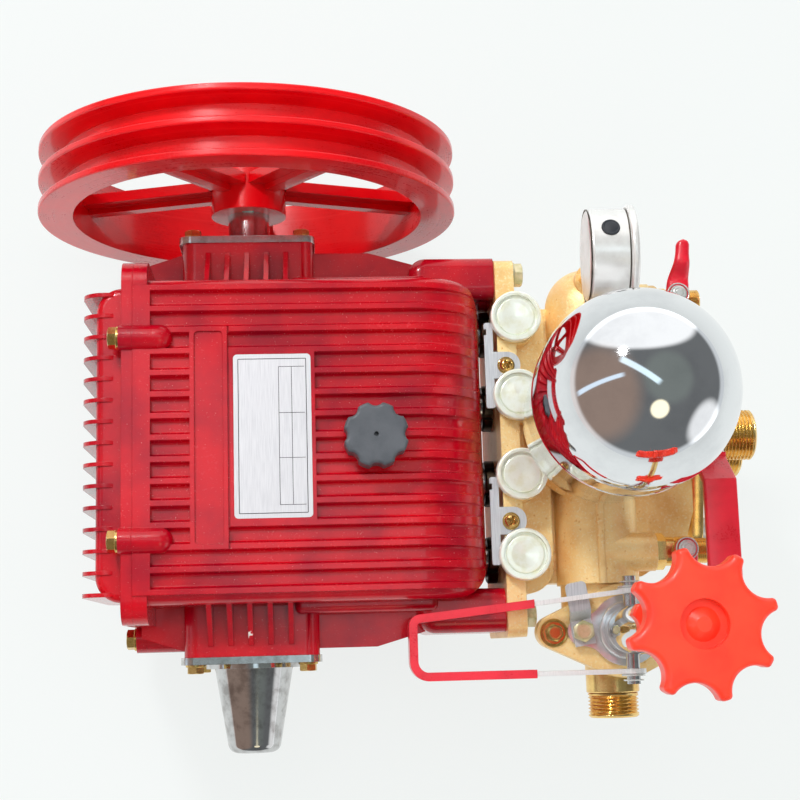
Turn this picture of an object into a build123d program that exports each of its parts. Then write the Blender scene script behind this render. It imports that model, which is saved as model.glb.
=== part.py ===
from build123d import *
import os
from math import cos, sin, radians

os.makedirs("parts", exist_ok=True)

# Belt-driven plunger pump with four plungers. Every length is in millimetres.
# Shapes are drawn from the crank axis (X = 0, Z = 0, running along Y) and the middle
# plane of the crankcase (Y = 0). keep() then moves them so that the origin lies on the
# underside of the feet, midway between the four foot holes.

# Fits
running_gap = 0.05
seat_gap = 0.3

# Crankcase
crank_height = 150.0
case_front = 150.5
case_rear = 70.0
case_half_width = 102.0
case_top = 80.0
case_bend = 42.0
case_corner = 14.0
case_front_corner = 24.0
case_edge = 9.0
skirt_inset = 8.0
skirt_front_inset = 10.5
skirt_top = -58.0
sump_clearance = 5.0
rear_flange_reach = 11.5
rear_flange_thickness = 9.0
rear_flange_rise = 4.0
rear_flange_bottom = -108.0
rear_flange_corner = 14.0

# Cooling ribs of the crankcase and the valleys between them
rib_count = 15
rib_margin = 7.5
rib_thickness = 3.4
rib_foot_thickness = 5.8
rib_height = 5.0
rib_bend = 46.0
valley_rounding = 1.8
valley_fade = 0.3
valley_sweep = 80.0
valley_start = 2.0

# Flat places on the crankcase top
panel_x = (-35.0, -11.5)
panel_inset = 32.8
panel_border = 3.0
panel_depth = 1.6
plate_x = (-8.0, 40.0)
plate_inset = 51.0
plate_thickness = 1.0
plate_corner = 2.5
plate_frame = 2.5

# Bosses of the bolts that hold the rear cover
cover_bolt_y = 63.0
cover_boss_rise = 2.0
cover_boss_radius = 8.2
cover_boss_length = 24.5
cover_lug_reach = 19.0
cover_lug_z = -12.0
cover_lug_radius = 9.0
cover_boss_step = 1.5

# Rear cover
rear_cover_flange = 7.0
rear_cover_depth = 18.0
rear_cover_inset = 2.5
rear_cover_top = 66.0
rear_cover_bottom = -92.0
rear_cover_bend = 16.5
rear_fin_height = 9.0
rear_fin_inset = 8.0
rear_fin_rise = 1.0
rear_fin_corner = 14.0
rear_fin_thickness = 2.6

# Bearing housings at both ends of the crank, and the webs that brace them
housing_half = 42.5
housing_half_height = 44.0
housing_reach = 32.0
housing_corner = 9.0
housing_post = (38.5, 40.5, 4.5)
housing_fin_count = 5
housing_fin_pitch = 12.6
housing_fin_thickness = 3.2
housing_fin_reach = 25.0
housing_fin_start = 8.0
housing_fin_rise = 35.0
housing_fin_low_rise = 4.0
web_thickness = 8.0
web_top = 29.0
web_reach = 28.0
web_front_reach = 19.0
web_flat_end = 80.0
web_slope_end = 112.0
ledge_x = (28.0, 118.0)
ledge_reach = 6.4
ledge_top = 54.0
ledge_edge = 4.0

# Arms that carry the cylinder block
arm_start = 106.0
arm_inset = 7.0
arm_reach = 21.0
arm_step = 5.0
arm_corner = 8.0
arm_heel = 11.0

# Feet
foot_rear = -84.0
foot_front = 144.0
foot_reach = 16.0
foot_thickness = 14.0
foot_corner = 10.0
foot_inset_x = 16.0
foot_hole_reach = 4.0
foot_hole_radius = 6.5
gusset_places = (-58.0, 58.0, 112.0)
gusset_thickness = 7.0
gusset_reach = 8.0

# Crankshaft and pulley
shaft_radius = 14.0
shaft_stub = 14.0
pulley_radius = 141.5
pulley_stand_off = 27.0
pulley_width = 46.0
groove_pitch = 20.5
groove_top_width = 16.5
groove_bottom_width = 8.5
groove_depth = 14.0
rim_thickness = 9.0
hub_radius = 25.5
hub_length = 38.0
hub_set_in = 3.0
spoke_count = 5
spoke_width = 30.0
spoke_thickness = 7.0
spoke_rib_width = 8.0
spoke_rib_height = 15.0
key_width = 8.0
key_height = 4.0

# Covers of the bearing housings
cover_plate_half = 44.5
cover_plate_half_height = 45.0
cover_plate_thickness = 4.5
cover_plate_corner = 8.0
oil_seal_radius = 22.0
oil_seal_lip = 2.5
guard_mouth_radius = 25.5
guard_tip_radius = 16.3
guard_length = 57.0
guard_flange_radius = 31.0
guard_flange_thickness = 3.0
guard_wall = 2.0
guard_tip_rounding = 6.0

# Plungers and cylinder block
block_inset = 3.0
block_overhang = 6.5
end_cylinder_inset = 43.05
cylinder_shift = 1.9
cylinder_count = 4
plunger_radius = 11.0
plunger_start = 134.0
plunger_end = 172.0
gland_radius = 15.5
gland_length = 6.5
gland_slot = 4.0
block_rear = 162.0
block_flange_thickness = 12.5
block_half_height = 50.0
block_corner = 8.0
chest_front = 195.5
chest_inset = 21.0
chest_top_step = 16.0
chest_bottom_step = 4.0
chest_corner = 18.0
valve_x = 173.6
valve_chamber_radius = 17.0
cap_radius = 16.5
cap_neck_radius = 13.5
cap_stand_off = 3.2
cap_height = 7.3
cap_dish_radius = 13.9
cap_dish_depth = 2.8
cap_island_radius = 12.2
cap_island_height = 1.3
cap_island_edge = 0.9
cap_dimple = (0.4, 9.0, 0.8)
cap_seat_depth = 6.0

# Lock plates on the block's top edge
lock_thickness = 2.6
lock_rear = 153.2
lock_strip_front = 158.9
lock_tab_front = 176.2
lock_tab_width = 17.6
lock_half_length = 28.1
lock_half_pitch = 50.5
lock_shift = -2.6
lock_notch = (1.6, 4.0, 20.0)

# Delivery manifold
manifold_x = 226.5
manifold_drop = 30.0
manifold_radius = 27.0
manifold_pulley_inset = 29.0
manifold_regulator_inset = 26.0
manifold_joint_inset = 28.0
manifold_depth = 27.0
parting_ridge_x = 224.6
parting_ridge_width = 5.0
parting_ridge_height = 1.8

# Suction manifold under it
suction_inset = 32.0
suction_shoulder_x = 262.0
suction_shoulder = (8.0, 26.0)
suction_edge = 6.0
suction_front = 300.0
suction_front_half = 44.0
suction_corner = 12.0
inlet_rise = 22.0
inlet_flange_thickness = 9.0
inlet_flange_reach = 58.0
inlet_flange_radius = 27.0
inlet_ear_radius = 12.0
inlet_thread_radius = 20.95
inlet_bore_radius = 16.0
inlet_end = 338.0

# Air chamber
chamber_x = 221.0
chamber_y = 2.0
chamber_stand_off = 32.0
chamber_boss_radius = 31.0
chamber_root_radius = 42.0
chamber_root_height = 14.0
chamber_foot_radius = 22.0
chamber_low_radius = 51.5
chamber_low_height = 46.0
chamber_radius = 57.0
chamber_shoulder_height = 138.0
chamber_height = 198.0
chamber_foot_height = 8.0

# Pressure gauge
gauge_x = 228.0
gauge_inset = 12.6
gauge_height = 80.0
gauge_lean = 4.0
gauge_radius = 29.3
gauge_back = 212.9
gauge_body_front = 238.1
gauge_bezel_front = 243.1
gauge_bezel_radius = 31.5
gauge_window_radius = 27.0
gauge_cup_depth = 9.0
dial_thickness = 0.8
glass_thickness = 2.5
pointer_hub_radius = 3.0
pointer_tail = 8.0
pointer_length = 21.0
pointer_turn = -135.0
gauge_plug_tilt = 22.0
gauge_plug_radius = 5.6
gauge_plug_height = 1.4
gauge_boss_radius = 12.0
gauge_boss_height = 26.0
gauge_hex = 17.0
gauge_hex_height = 13.0
gauge_neck_radius = 7.0

# Pressure regulator at the other end of the manifold
regulator_x = 238.0
regulator_reach = 4.0
regulator_depth = 66.0
regulator_body_radius = 25.0
regulator_drop = 8.0
regulator_flange_thickness = 12.0
regulator_ear_reach = 46.0
regulator_ear_radius = 10.5
regulator_mid_radius = 30.0
regulator_plate_thickness = 4.5
regulator_plate_reach = 28.0
regulator_plate_ear = 9.5
regulator_plate_mid = 22.5
regulator_plate_hollow = 14.0
regulator_collar_radius = 18.2
regulator_collar_height = 12.0
regulator_cap_radius = 15.5
regulator_shoulder_height = 38.0
regulator_cap_neck_radius = 9.0
regulator_cap_height = 108.0
regulator_neck_length = 14.0
bypass_drop = 16.0
bypass_x = 236.0
bypass_boss_radius = 17.5
bypass_boss_length = 28.0
bypass_collar_radius = 17.4
bypass_collar_length = 12.0
outlet_thread_radius = 16.6
outlet_bore_radius = 12.5
bypass_thread_length = 16.0

# Adjusting screw, its lock nut and the handwheel
screw_radius = 5.0
screw_depth = 38.0
lock_nut_height = 9.0
lock_nut_edge = 1.2
lock_nut_radius = 21.0
lock_nut_lobes = 6
lock_nut_scallop = 8.0
lock_nut_valley = 16.0
wheel_stand_off = 75.0
wheel_thickness = 15.0
wheel_radius = 40.0
wheel_valley_radius = 30.0
wheel_scallop_radius = 13.2
wheel_lobes = 8
wheel_phase = 36.4
wheel_edge = 3.0
wheel_hub_radius = 13.0
wheel_hub_length = 11.0
wheel_recess_radius = 13.0
wheel_recess_depth = 5.0
wheel_dome = (9.0, 4.0, 3.5)
wheel_tip = 2.4

# Relief lever
lever_rise = 20.0
lever_pin_radius = 4.2
lever_pin_half = 33.5
lever_near = 24.4
lever_bend_x = 181.0
lever_near_bend = 18.0
lever_near_end = 9.5
lever_far = -25.6
lever_end_x = 100.5
lever_near_corner = 6.0
lever_far_corner = 11.0
lever_thickness = 3.0
lever_height = 11.0
lever_eye_radius = 8.0
grip_start_x = 176.5
grip_wall = 1.1
stop_x = (203.2, 216.6)
stop_turn = 10.0
stop_corner = 3.0
stop_thickness = 2.0
stop_reach = 31.0
stop_steps = (-9.0, 7.0, 13.0)

# Ball valve on the main outlet
main_valve_rise = 12.0
main_valve_boss_radius = 21.0
main_valve_start = 268.0
main_valve_hex = 40.0
main_valve_hex_length = 14.0
main_valve_body_radius = 20.5
main_valve_stem_x = 292.3
main_valve_thread_start = 309.0
main_valve_end = 331.0
main_valve_bonnet_radius = 10.0
main_valve_bonnet_height = 30.0
main_stem_radius = 5.0
main_stem_depth = 11.0
main_lever_low_height = 36.0
main_lever_high_height = 56.0
main_stem_nut = 15.0
main_stem_nut_height = 6.0
main_lever_width = 18.6
main_lever_thickness = 3.0
main_lever_bend = (-20.0, -36.0)
main_lever_end = -112.0
main_grip_wall = 1.2

# Small ball valves
small_valve_rise = 15.0
small_valve_inset = (28.0, 46.0)
small_boss_radius = 12.5
small_valve_start = 261.5
small_hex = 20.6
small_hex_length = 6.5
small_body_radius = 9.5
small_stem_x = 277.0
small_valve_shift = (4.0, 0.0)
small_thread_start = 287.0
small_thread_radius = 8.3
small_bore_radius = 5.0
small_valve_end = 296.0
small_bonnet_radius = 6.0
small_bonnet_height = 15.0
small_stem_radius = 3.0
small_lever_height = 20.0
small_lever_length = 35.0
small_lever_width = 15.0
small_lever_tip_width = 9.0
small_lever_thickness = 5.0
small_lever_rise = 9.0
small_lever_bend = (12.0, 20.0)

# Oil filler, drain and sight glass
filler_x = 79.0
filler_y = -3.0
filler_neck_radius = 17.0
filler_neck_top = 88.0
filler_radius = 20.0
filler_valley_radius = 17.6
filler_scallop_radius = 5.5
filler_lobes = 8
filler_vent_radius = 1.4
filler_vent_depth = 4.0
filler_height = 16.0
filler_stem_radius = 9.0
filler_stem_depth = 16.0
drain_z = -72.0
drain_hex = 17.0
drain_room = 3.0
drain_collar = 1.5
sight_y = 45.0
sight_z = -40.0
sight_radius = 14.0
sight_depth = 3.0
sight_rim = 4.0
sight_recess = 1.5
plug_projection = 7.0

# Places that follow the crankcase
case_crest = case_top + rib_height
skirt_half_width = case_half_width - skirt_inset
rear_flange_half_width = case_half_width + rear_flange_reach
rear_cover_half_width = case_half_width - rear_cover_inset
panel_half_length = case_half_width - panel_inset
plate_half_length = case_half_width - plate_inset
rib_pitch = 2 * (case_half_width - rib_margin) / (rib_count - 1)
rib_half_span = (rib_count - 1) / 2 * rib_pitch + rib_thickness / 2
valley_y = [(n + 1 - rib_count / 2) * rib_pitch for n in range(rib_count - 1)]
fin_y = [(n - (rib_count - 1) / 2) * rib_pitch for n in range(rib_count)]
cover_lug_y = case_half_width + cover_lug_reach
housing_end = case_half_width + housing_reach
housing_plate_end = housing_end + cover_plate_thickness
web_half_width = case_half_width + web_reach
web_front_half_width = case_half_width + web_front_reach
ledge_half_width = case_half_width + ledge_reach
arm_inner = case_half_width - arm_inset
arm_outer = case_half_width + arm_reach
arm_half_height = block_half_height - arm_step
foot_half_width = case_half_width + foot_reach
foot_hole_y = case_half_width + foot_hole_reach
foot_hole_x = (foot_rear + foot_inset_x, foot_front - foot_inset_x)
origin_x = (foot_hole_x[0] + foot_hole_x[1]) / 2
shaft_back = -(housing_end + shaft_stub)
pulley_face = housing_end + pulley_stand_off

# Places that follow the cylinder block
block_half_width = arm_outer - block_inset
block_far_end = -block_half_width - block_overhang
cylinder_pitch = 2 * (block_half_width - end_cylinder_inset) / (cylinder_count - 1)
cylinder_y = [(n - (cylinder_count - 1) / 2) * cylinder_pitch + cylinder_shift
              for n in range(cylinder_count)]
lock_y = (lock_half_pitch + lock_shift, -lock_half_pitch + lock_shift)
chest_half_width = block_half_width - chest_inset
chest_top = block_half_height - chest_top_step
chest_bottom = -block_half_height + chest_bottom_step
cap_bottom = block_half_height + cap_stand_off
cap_top = cap_bottom + cap_height
manifold_z = block_half_height - manifold_drop
manifold_pulley_end = block_half_width - manifold_pulley_inset
manifold_regulator_end = -block_half_width + manifold_regulator_inset
manifold_half_joint = block_half_width - manifold_joint_inset
manifold_bottom = manifold_z - manifold_depth
suction_side = block_half_width - suction_inset
suction_bottom = -block_half_height
inlet_z = suction_bottom + inlet_rise
chamber_seat_z = manifold_z + chamber_stand_off
gauge_y = block_half_width - gauge_inset
gauge_z = manifold_z + gauge_height
gauge_boss_top = manifold_z + gauge_boss_height
main_valve_z = manifold_z + main_valve_rise
main_valve_bonnet_top = main_valve_z + main_valve_bonnet_height
main_lever_low = main_valve_z + main_lever_low_height
main_lever_high = main_valve_z + main_lever_high_height
small_valve_z = manifold_z + small_valve_rise
small_valve_y = (block_half_width - small_valve_inset[0], -block_half_width + small_valve_inset[1])
small_bonnet_top = small_valve_z + small_bonnet_height
small_lever_z = small_valve_z + small_lever_height

# Places that follow the regulator
regulator_y = -block_half_width - regulator_reach
regulator_flange_top = block_half_height - regulator_drop
regulator_bottom = regulator_flange_top - regulator_depth
regulator_collar_top = regulator_flange_top + regulator_collar_height
regulator_cap_shoulder = regulator_flange_top + regulator_shoulder_height
regulator_cap_top = regulator_flange_top + regulator_cap_height
bypass_z = manifold_z - bypass_drop
bypass_boss_end = regulator_y - bypass_boss_length
bypass_collar_end = bypass_boss_end - bypass_collar_length
bypass_end = bypass_collar_end - bypass_thread_length
screw_bottom = regulator_cap_top - screw_depth
wheel_bottom = regulator_cap_top + wheel_stand_off
wheel_hub_bottom = wheel_bottom - wheel_hub_length
lever_z = regulator_flange_top + lever_rise
lever_near_y = regulator_y + lever_near
lever_near_bend_y = regulator_y + lever_near_bend
lever_near_end_y = regulator_y + lever_near_end
lever_far_y = regulator_y + lever_far
stop_reach_y = regulator_y + stop_reach
lever_reach = regulator_x - lever_end_x + lever_eye_radius


def keep(name, shape):
    """Write one named piece, moved from the crank axis to the origin between the feet."""
    placed = Pos(-origin_x, 0, crank_height) * shape
    placed.label = name
    export_step(placed, f"parts/{name}.step")


def block(x, y, z):
    """A box between the two ends given on each axis."""
    size = [high - low for low, high in (x, y, z)]
    middle = [(high + low) / 2 for low, high in (x, y, z)]
    return Pos(*middle) * Box(*size)


def rounded(shape, axis, radius):
    """The shape with its edges along one axis rounded."""
    return fillet(shape.edges().filter_by(axis), radius)


def rod_x(radius, x, y, z):
    """A round bar along X between two ends."""
    return Pos((x[0] + x[1]) / 2, y, z) * Rot(0, 90, 0) * Cylinder(radius, x[1] - x[0])


def rod_y(radius, x, y, z):
    """A round bar along Y between two ends."""
    return Pos(x, (y[0] + y[1]) / 2, z) * Rot(90, 0, 0) * Cylinder(radius, y[1] - y[0])


def rod_z(radius, x, y, z):
    """A round bar along Z between two ends."""
    return Pos(x, y, (z[0] + z[1]) / 2) * Cylinder(radius, z[1] - z[0])


def hex_x(flats, x, y, z):
    """A hexagonal bar along X, with a flat on top."""
    outline = Rot(0, 0, 30) * RegularPolygon(flats / 2, 6, major_radius=False)
    return Pos(x[0], y, z) * Rot(0, 90, 0) * extrude(outline, x[1] - x[0])


def hex_z(flats, x, y, z):
    """A hexagonal bar along Z."""
    return Pos(x, y, z[0]) * extrude(RegularPolygon(flats / 2, 6, major_radius=False), z[1] - z[0])


def plan(points, z):
    """A flat outline seen from above, raised between two heights."""
    return Pos(0, 0, z[0]) * extrude(make_face(Polyline(*points, close=True)), z[1] - z[0])


def side_plate(x, z, thickness, corner, y):
    """An upright plate across Y with rounded corners, its middle at y."""
    outline = RectangleRounded(x[1] - x[0], z[1] - z[0], corner)
    place = Plane(origin=((x[0] + x[1]) / 2, y, (z[0] + z[1]) / 2), x_dir=(1, 0, 0), z_dir=(0, -1, 0))
    return extrude(place * outline, thickness / 2, both=True)


def turned(profile_edges):
    """A solid turned about the Z axis from edges drawn in the XZ plane."""
    return revolve(Plane.XZ * make_face(profile_edges), Axis.Z)


def both_sides(shape):
    """The shape and its mirror image across the middle plane."""
    return shape + mirror(shape, Plane.XZ)


def hood(top, bend, half_width):
    """The crankcase above its skirt, curved over at the front."""
    straight = Polyline((case_front - bend, top), (-case_rear, top), (-case_rear, skirt_top),
                        (case_front, skirt_top), (case_front, top - bend))
    curve = CenterArc((case_front - bend, top - bend), bend, 0, 90)
    profile = make_face((Curve() + [straight, curve]).edges())
    return extrude(Plane.XZ * profile, half_width, both=True)


def valley(x, y, over_front):
    """The room between two ribs, which fades out on the curved front where it goes that far."""
    foot = (rib_pitch - rib_foot_thickness) / 2
    mouth = (rib_pitch - rib_thickness) / 2
    points = [(y - foot, case_top), (y + foot, case_top), (y + mouth, case_crest),
              (y + mouth, case_crest + 2), (y - mouth, case_crest + 2), (y - mouth, case_crest)]
    section = make_face(Polyline(*points, close=True))
    section = fillet(section.vertices().group_by(Axis.Y)[0], valley_rounding)
    section = Plane(origin=(x[1], 0, 0), x_dir=(0, 1, 0), z_dir=(1, 0, 0)) * section
    room = extrude(section, x[0] - x[1])
    if over_front:
        axis = Axis((x[1], 0, case_top - case_bend), (0, 1, 0))
        room += revolve(section, axis, valley_sweep)
    return room


def make_crankcase():
    """The main casting: box, ribs, flanges, bearing housings, arms and feet."""
    body = hood(case_top, case_bend, case_half_width)
    sides = [edge for edge in body.edges()
             if abs(edge.center().Y) > case_half_width - 0.01
             and edge.center().X > 0 and edge.center().Z > skirt_top + 1]
    body = fillet(sides, case_edge)
    body += hood(case_crest, rib_bend, rib_half_span)
    front_x = (case_front - case_front_corner, case_front + 1)
    corner = block(front_x, (case_half_width - case_front_corner, case_half_width + 1),
                   (skirt_top - 1, case_crest + 1))
    corner -= rod_z(case_front_corner, front_x[0], case_half_width - case_front_corner,
                    (skirt_top - 2, case_crest + 2))
    body -= both_sides(corner)
    skirt = block((-case_rear + rear_flange_thickness, case_front - skirt_front_inset),
                  (-skirt_half_width, skirt_half_width), (-crank_height + sump_clearance, skirt_top + 1))
    body += rounded(skirt, Axis.Z, case_corner)

    rear_x = -case_rear + rear_flange_thickness + valley_start
    front_x = case_front - case_bend + valley_fade
    for y in valley_y:
        if abs(y) > panel_half_length:
            body -= valley((rear_x, front_x), y, True)
            continue
        beside_plate = abs(y) > plate_half_length + plate_frame
        body -= valley((rear_x, panel_x[0]), y, False)
        body -= valley((panel_x[1] if beside_plate else plate_x[1] + plate_frame, front_x), y, True)

    gap_end = plate_x[0] - plate_frame
    slit = block((panel_x[1], gap_end), (-panel_half_length, panel_half_length),
                 (case_crest - panel_depth, case_crest + 1))
    sunk = block((panel_x[0] + panel_border, panel_x[1] - panel_border),
                 (-panel_half_length + panel_border, panel_half_length - panel_border),
                 (case_crest - panel_depth, case_crest + 1))
    seat = block(plate_x, (-plate_half_length, plate_half_length),
                 (case_crest - plate_thickness, case_crest + 1))
    body = body - slit - rounded(sunk, Axis.Z, plate_corner) - rounded(seat, Axis.Z, plate_corner)

    flange = block((-case_rear, -case_rear + rear_flange_thickness),
                   (-rear_flange_half_width, rear_flange_half_width),
                   (rear_flange_bottom, case_top + rear_flange_rise))
    body += rounded(flange, Axis.X, rear_flange_corner)
    for y in (cover_bolt_y, -cover_bolt_y):
        boss = rod_x(cover_boss_radius, (-case_rear, -case_rear + cover_boss_length), y,
                     case_top + cover_boss_rise)
        body += fillet(boss.edges().sort_by(Axis.X)[-1], cover_boss_radius - 0.2)

    side = block((-housing_half, housing_half), (case_half_width - 10, housing_end),
                 (-housing_half_height, housing_half_height))
    side = rounded(side, Axis.Y, housing_corner)
    side += rod_y(housing_post[2], housing_post[0], (case_half_width - 10, housing_end), housing_post[1])
    for n in range(housing_fin_count):
        x = (n - (housing_fin_count - 1) / 2) * housing_fin_pitch
        low = housing_half_height - 2
        outline = Polyline((case_half_width - housing_fin_start, low),
                           (case_half_width + housing_fin_reach, low),
                           (case_half_width + housing_fin_reach, low + housing_fin_low_rise),
                           (case_half_width - housing_fin_start, low + housing_fin_rise), close=True)
        face = Plane(origin=(x, 0, 0), x_dir=(0, 1, 0), z_dir=(1, 0, 0)) * make_face(outline)
        side += extrude(face, housing_fin_thickness / 2, both=True)

    web_level = (web_top - web_thickness, web_top)
    side += plan([(-case_rear, skirt_half_width), (-case_rear, cover_lug_y),
                  (-housing_half, web_half_width), (housing_half, web_half_width),
                  (web_flat_end, web_half_width), (web_slope_end, web_front_half_width),
                  (block_rear, web_front_half_width), (block_rear, arm_inner),
                  (case_front - case_front_corner, skirt_half_width)], web_level)
    side += rod_x(cover_lug_radius, (-case_rear, -housing_half + 1), cover_lug_y, cover_lug_z)
    ledge = block(ledge_x, (case_half_width - 5, ledge_half_width), (web_level[0], ledge_top))
    outer = [edge for edge in ledge.edges() if edge.center().Y > case_half_width
             and edge.center().Z > web_top]
    side += fillet(outer, ledge_edge)
    arm = block((arm_start, block_rear), (arm_inner, arm_outer), (-arm_half_height, arm_half_height))
    heel = arm.edges().filter_by(Axis.Z).sort_by(lambda edge: edge.center().Y - edge.center().X)[-1]
    arm = fillet(heel, arm_heel)
    side += fillet(arm.edges().filter_by(Axis.X), arm_corner)

    foot = block((foot_rear, foot_front), (skirt_half_width - 14, foot_half_width),
                 (-crank_height, -crank_height + foot_thickness))
    side += rounded(foot, Axis.Z, foot_corner)
    for x in gusset_places:
        side += block((x - gusset_thickness / 2, x + gusset_thickness / 2),
                      (skirt_half_width - 4, case_half_width + gusset_reach),
                      (-crank_height + 2, web_top - 1))
    for x in foot_hole_x:
        side -= rod_z(foot_hole_radius, x, foot_hole_y,
                      (-crank_height - 1, -crank_height + foot_thickness + 1))
    body += both_sides(side)

    body += rod_z(filler_neck_radius, filler_x, filler_y, (case_top - 2, filler_neck_top))
    body -= rod_z(filler_stem_radius + running_gap, filler_x, filler_y,
                  (filler_neck_top - filler_stem_depth - 1, filler_neck_top + 1))
    for y in cylinder_y:
        body -= rod_x(plunger_radius + seat_gap, (plunger_start - seat_gap, case_front + 1), y, 0)
    body -= rod_y(shaft_radius + running_gap, 0, (shaft_back - 1, housing_end + 1), 0)
    return body


def make_rear_cover():
    """The finned lid on the rear of the crankcase."""
    joint = -case_rear
    seat = joint - rear_cover_flange
    back = seat - rear_cover_depth
    flange = block((seat, joint), (-rear_flange_half_width, rear_flange_half_width),
                   (rear_flange_bottom, case_top + rear_flange_rise))
    cover = rounded(flange, Axis.X, rear_flange_corner)
    tub = block((back, joint - 1), (-rear_cover_half_width, rear_cover_half_width),
                (rear_cover_bottom, rear_cover_top))
    tub = fillet(tub.edges().filter_by(Axis.Z).group_by(Axis.X)[0], rear_cover_bend)
    cover += fillet(tub.edges().group_by(Axis.Z)[-1] + tub.edges().group_by(Axis.Z)[0], 5)
    for y in fin_y:
        fin = side_plate((back - rear_fin_height, seat + 2),
                         (rear_cover_bottom + rear_fin_inset, rear_cover_top + rear_fin_rise),
                         rear_fin_thickness, rear_fin_corner, y)
        cover += fin
    for y in (cover_bolt_y, -cover_bolt_y):
        cover += rod_x(cover_boss_radius, (seat - cover_boss_step, joint), y, case_top + cover_boss_rise)
    for y in (cover_lug_y, -cover_lug_y):
        cover += rod_x(cover_lug_radius, (seat, joint), y, cover_lug_z)
    cover -= rod_x(sight_radius + seat_gap / 3, (back - rear_fin_height - 1, back + sight_depth),
                   sight_y, sight_z)
    cover -= rod_x(drain_hex / 2 + drain_room, (back - rear_fin_height - 1, back), 0, drain_z)
    return cover


def make_pulley():
    """The two-groove pulley: ribbed spokes between the hub and the grooved rim."""
    back = pulley_face + pulley_width
    inner = pulley_radius - groove_depth - rim_thickness
    points = [(inner, pulley_face), (pulley_radius, pulley_face)]
    for n in (-0.5, 0.5):
        middle = pulley_face + pulley_width / 2 + n * groove_pitch
        points += [(pulley_radius, middle - groove_top_width / 2),
                   (pulley_radius - groove_depth, middle - groove_bottom_width / 2),
                   (pulley_radius - groove_depth, middle + groove_bottom_width / 2),
                   (pulley_radius, middle + groove_top_width / 2)]
    points += [(pulley_radius, back), (inner, back)]
    rim = revolve(make_face(Polyline(*points, close=True)), Axis.Y)
    rims = rim.edges().filter_by(GeomType.CIRCLE)
    crest = [edge for edge in rims if abs(edge.radius - pulley_radius) < 0.01]
    rim = fillet(crest, 1.2)

    middle = pulley_face + pulley_width / 2
    wheel = rim + rod_y(hub_radius, 0, (pulley_face + hub_set_in, pulley_face + hub_set_in + hub_length), 0)
    reach = inner + rim_thickness / 2
    for n in range(spoke_count):
        turn = Rot(0, 90 + n * 360 / spoke_count, 0)
        arm = block((hub_radius - 3, reach), (middle - spoke_thickness / 2, middle + spoke_thickness / 2),
                    (-spoke_width / 2, spoke_width / 2))
        arm += block((hub_radius - 3, reach), (middle - spoke_rib_height / 2, middle + spoke_rib_height / 2),
                     (-spoke_rib_width / 2, spoke_rib_width / 2))
        wheel += turn * arm
    wheel -= rod_y(shaft_radius, 0, (pulley_face - 1, back + 1), 0)
    keyway = block((-key_width / 2, key_width / 2), (pulley_face - 1, back + 1),
                   (0, shaft_radius + key_height / 2))
    return wheel - keyway


def make_crankshaft():
    """The crank's round ends, with the key that drives it."""
    hub_end = pulley_face + hub_set_in + hub_length
    shaft = rod_y(shaft_radius, 0, (shaft_back, hub_end + 2), 0)
    shaft = chamfer(shaft.edges().sort_by(Axis.Y)[-1], 1.5)
    key = block((-key_width / 2, key_width / 2), (pulley_face + hub_set_in, hub_end),
                (shaft_radius - key_height / 2, shaft_radius + key_height / 2))
    return shaft + key


def make_bearing_cover():
    """The plate over the pulley-side bearing, round the shaft."""
    plate = block((-cover_plate_half, cover_plate_half), (housing_end, housing_plate_end),
                  (-cover_plate_half_height, cover_plate_half_height))
    plate = rounded(plate, Axis.Y, cover_plate_corner)
    seal_end = housing_plate_end + oil_seal_lip
    plate += rod_y(oil_seal_radius, 0, (housing_end, seal_end), 0)
    return plate - rod_y(shaft_radius + seat_gap, 0, (housing_end - 1, seal_end + 1), 0)


def make_end_cover():
    """The plate over the other bearing, under the shaft guard."""
    plate = block((-cover_plate_half, cover_plate_half), (-housing_plate_end, -housing_end),
                  (-cover_plate_half_height, cover_plate_half_height))
    plate = rounded(plate, Axis.Y, cover_plate_corner)
    return plate - rod_y(shaft_radius + seat_gap, 0, (-housing_plate_end - 1, -housing_end + 1), 0)


def make_shaft_guard():
    """The tapered cup over the free end of the crank."""
    outer = Polyline((0, 0), (guard_flange_radius, 0), (guard_flange_radius, guard_flange_thickness),
                     (guard_mouth_radius, guard_flange_thickness), (guard_tip_radius, guard_length),
                     (0, guard_length), close=True)
    cup = turned(outer)
    cup = fillet(cup.edges().group_by(Axis.Z)[-1], guard_tip_rounding)
    hollow = Polyline((0, -1), (guard_mouth_radius - guard_wall, -1),
                      (guard_mouth_radius - guard_wall, guard_flange_thickness),
                      (guard_tip_radius - guard_wall, guard_length - guard_wall),
                      (0, guard_length - guard_wall), close=True)
    cup -= turned(hollow)
    return Pos(0, -housing_plate_end, 0) * Rot(90, 0, 0) * cup


def make_cylinder_block():
    """The brass block: bolted flange, rounded chest and one valve chamber for each plunger."""
    front = block_rear + block_flange_thickness
    flange = block((block_rear, front), (block_far_end, block_half_width),
                   (-block_half_height, block_half_height))
    body = rounded(flange, Axis.X, block_corner)
    chest = block((front - 1, chest_front), (-chest_half_width, chest_half_width), (chest_bottom, chest_top))
    chest = fillet(chest.edges().filter_by(Axis.Z).group_by(Axis.X)[-1], chest_corner)
    body += chest
    for y in cylinder_y:
        body += rod_z(valve_chamber_radius, valve_x, y, (chest_bottom, block_half_height))
    body -= block((valve_x - 2 * valve_chamber_radius, block_rear), (-block_half_width, block_half_width),
                  (-2 * block_half_height, 2 * block_half_height))
    for y in cylinder_y:
        body -= rod_x(plunger_radius + seat_gap, (block_rear - 5, plunger_end + seat_gap), y, 0)
        body -= rod_z(cap_neck_radius, valve_x, y,
                      (block_half_height - cap_seat_depth, block_half_height + 1))
    return body


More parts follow.
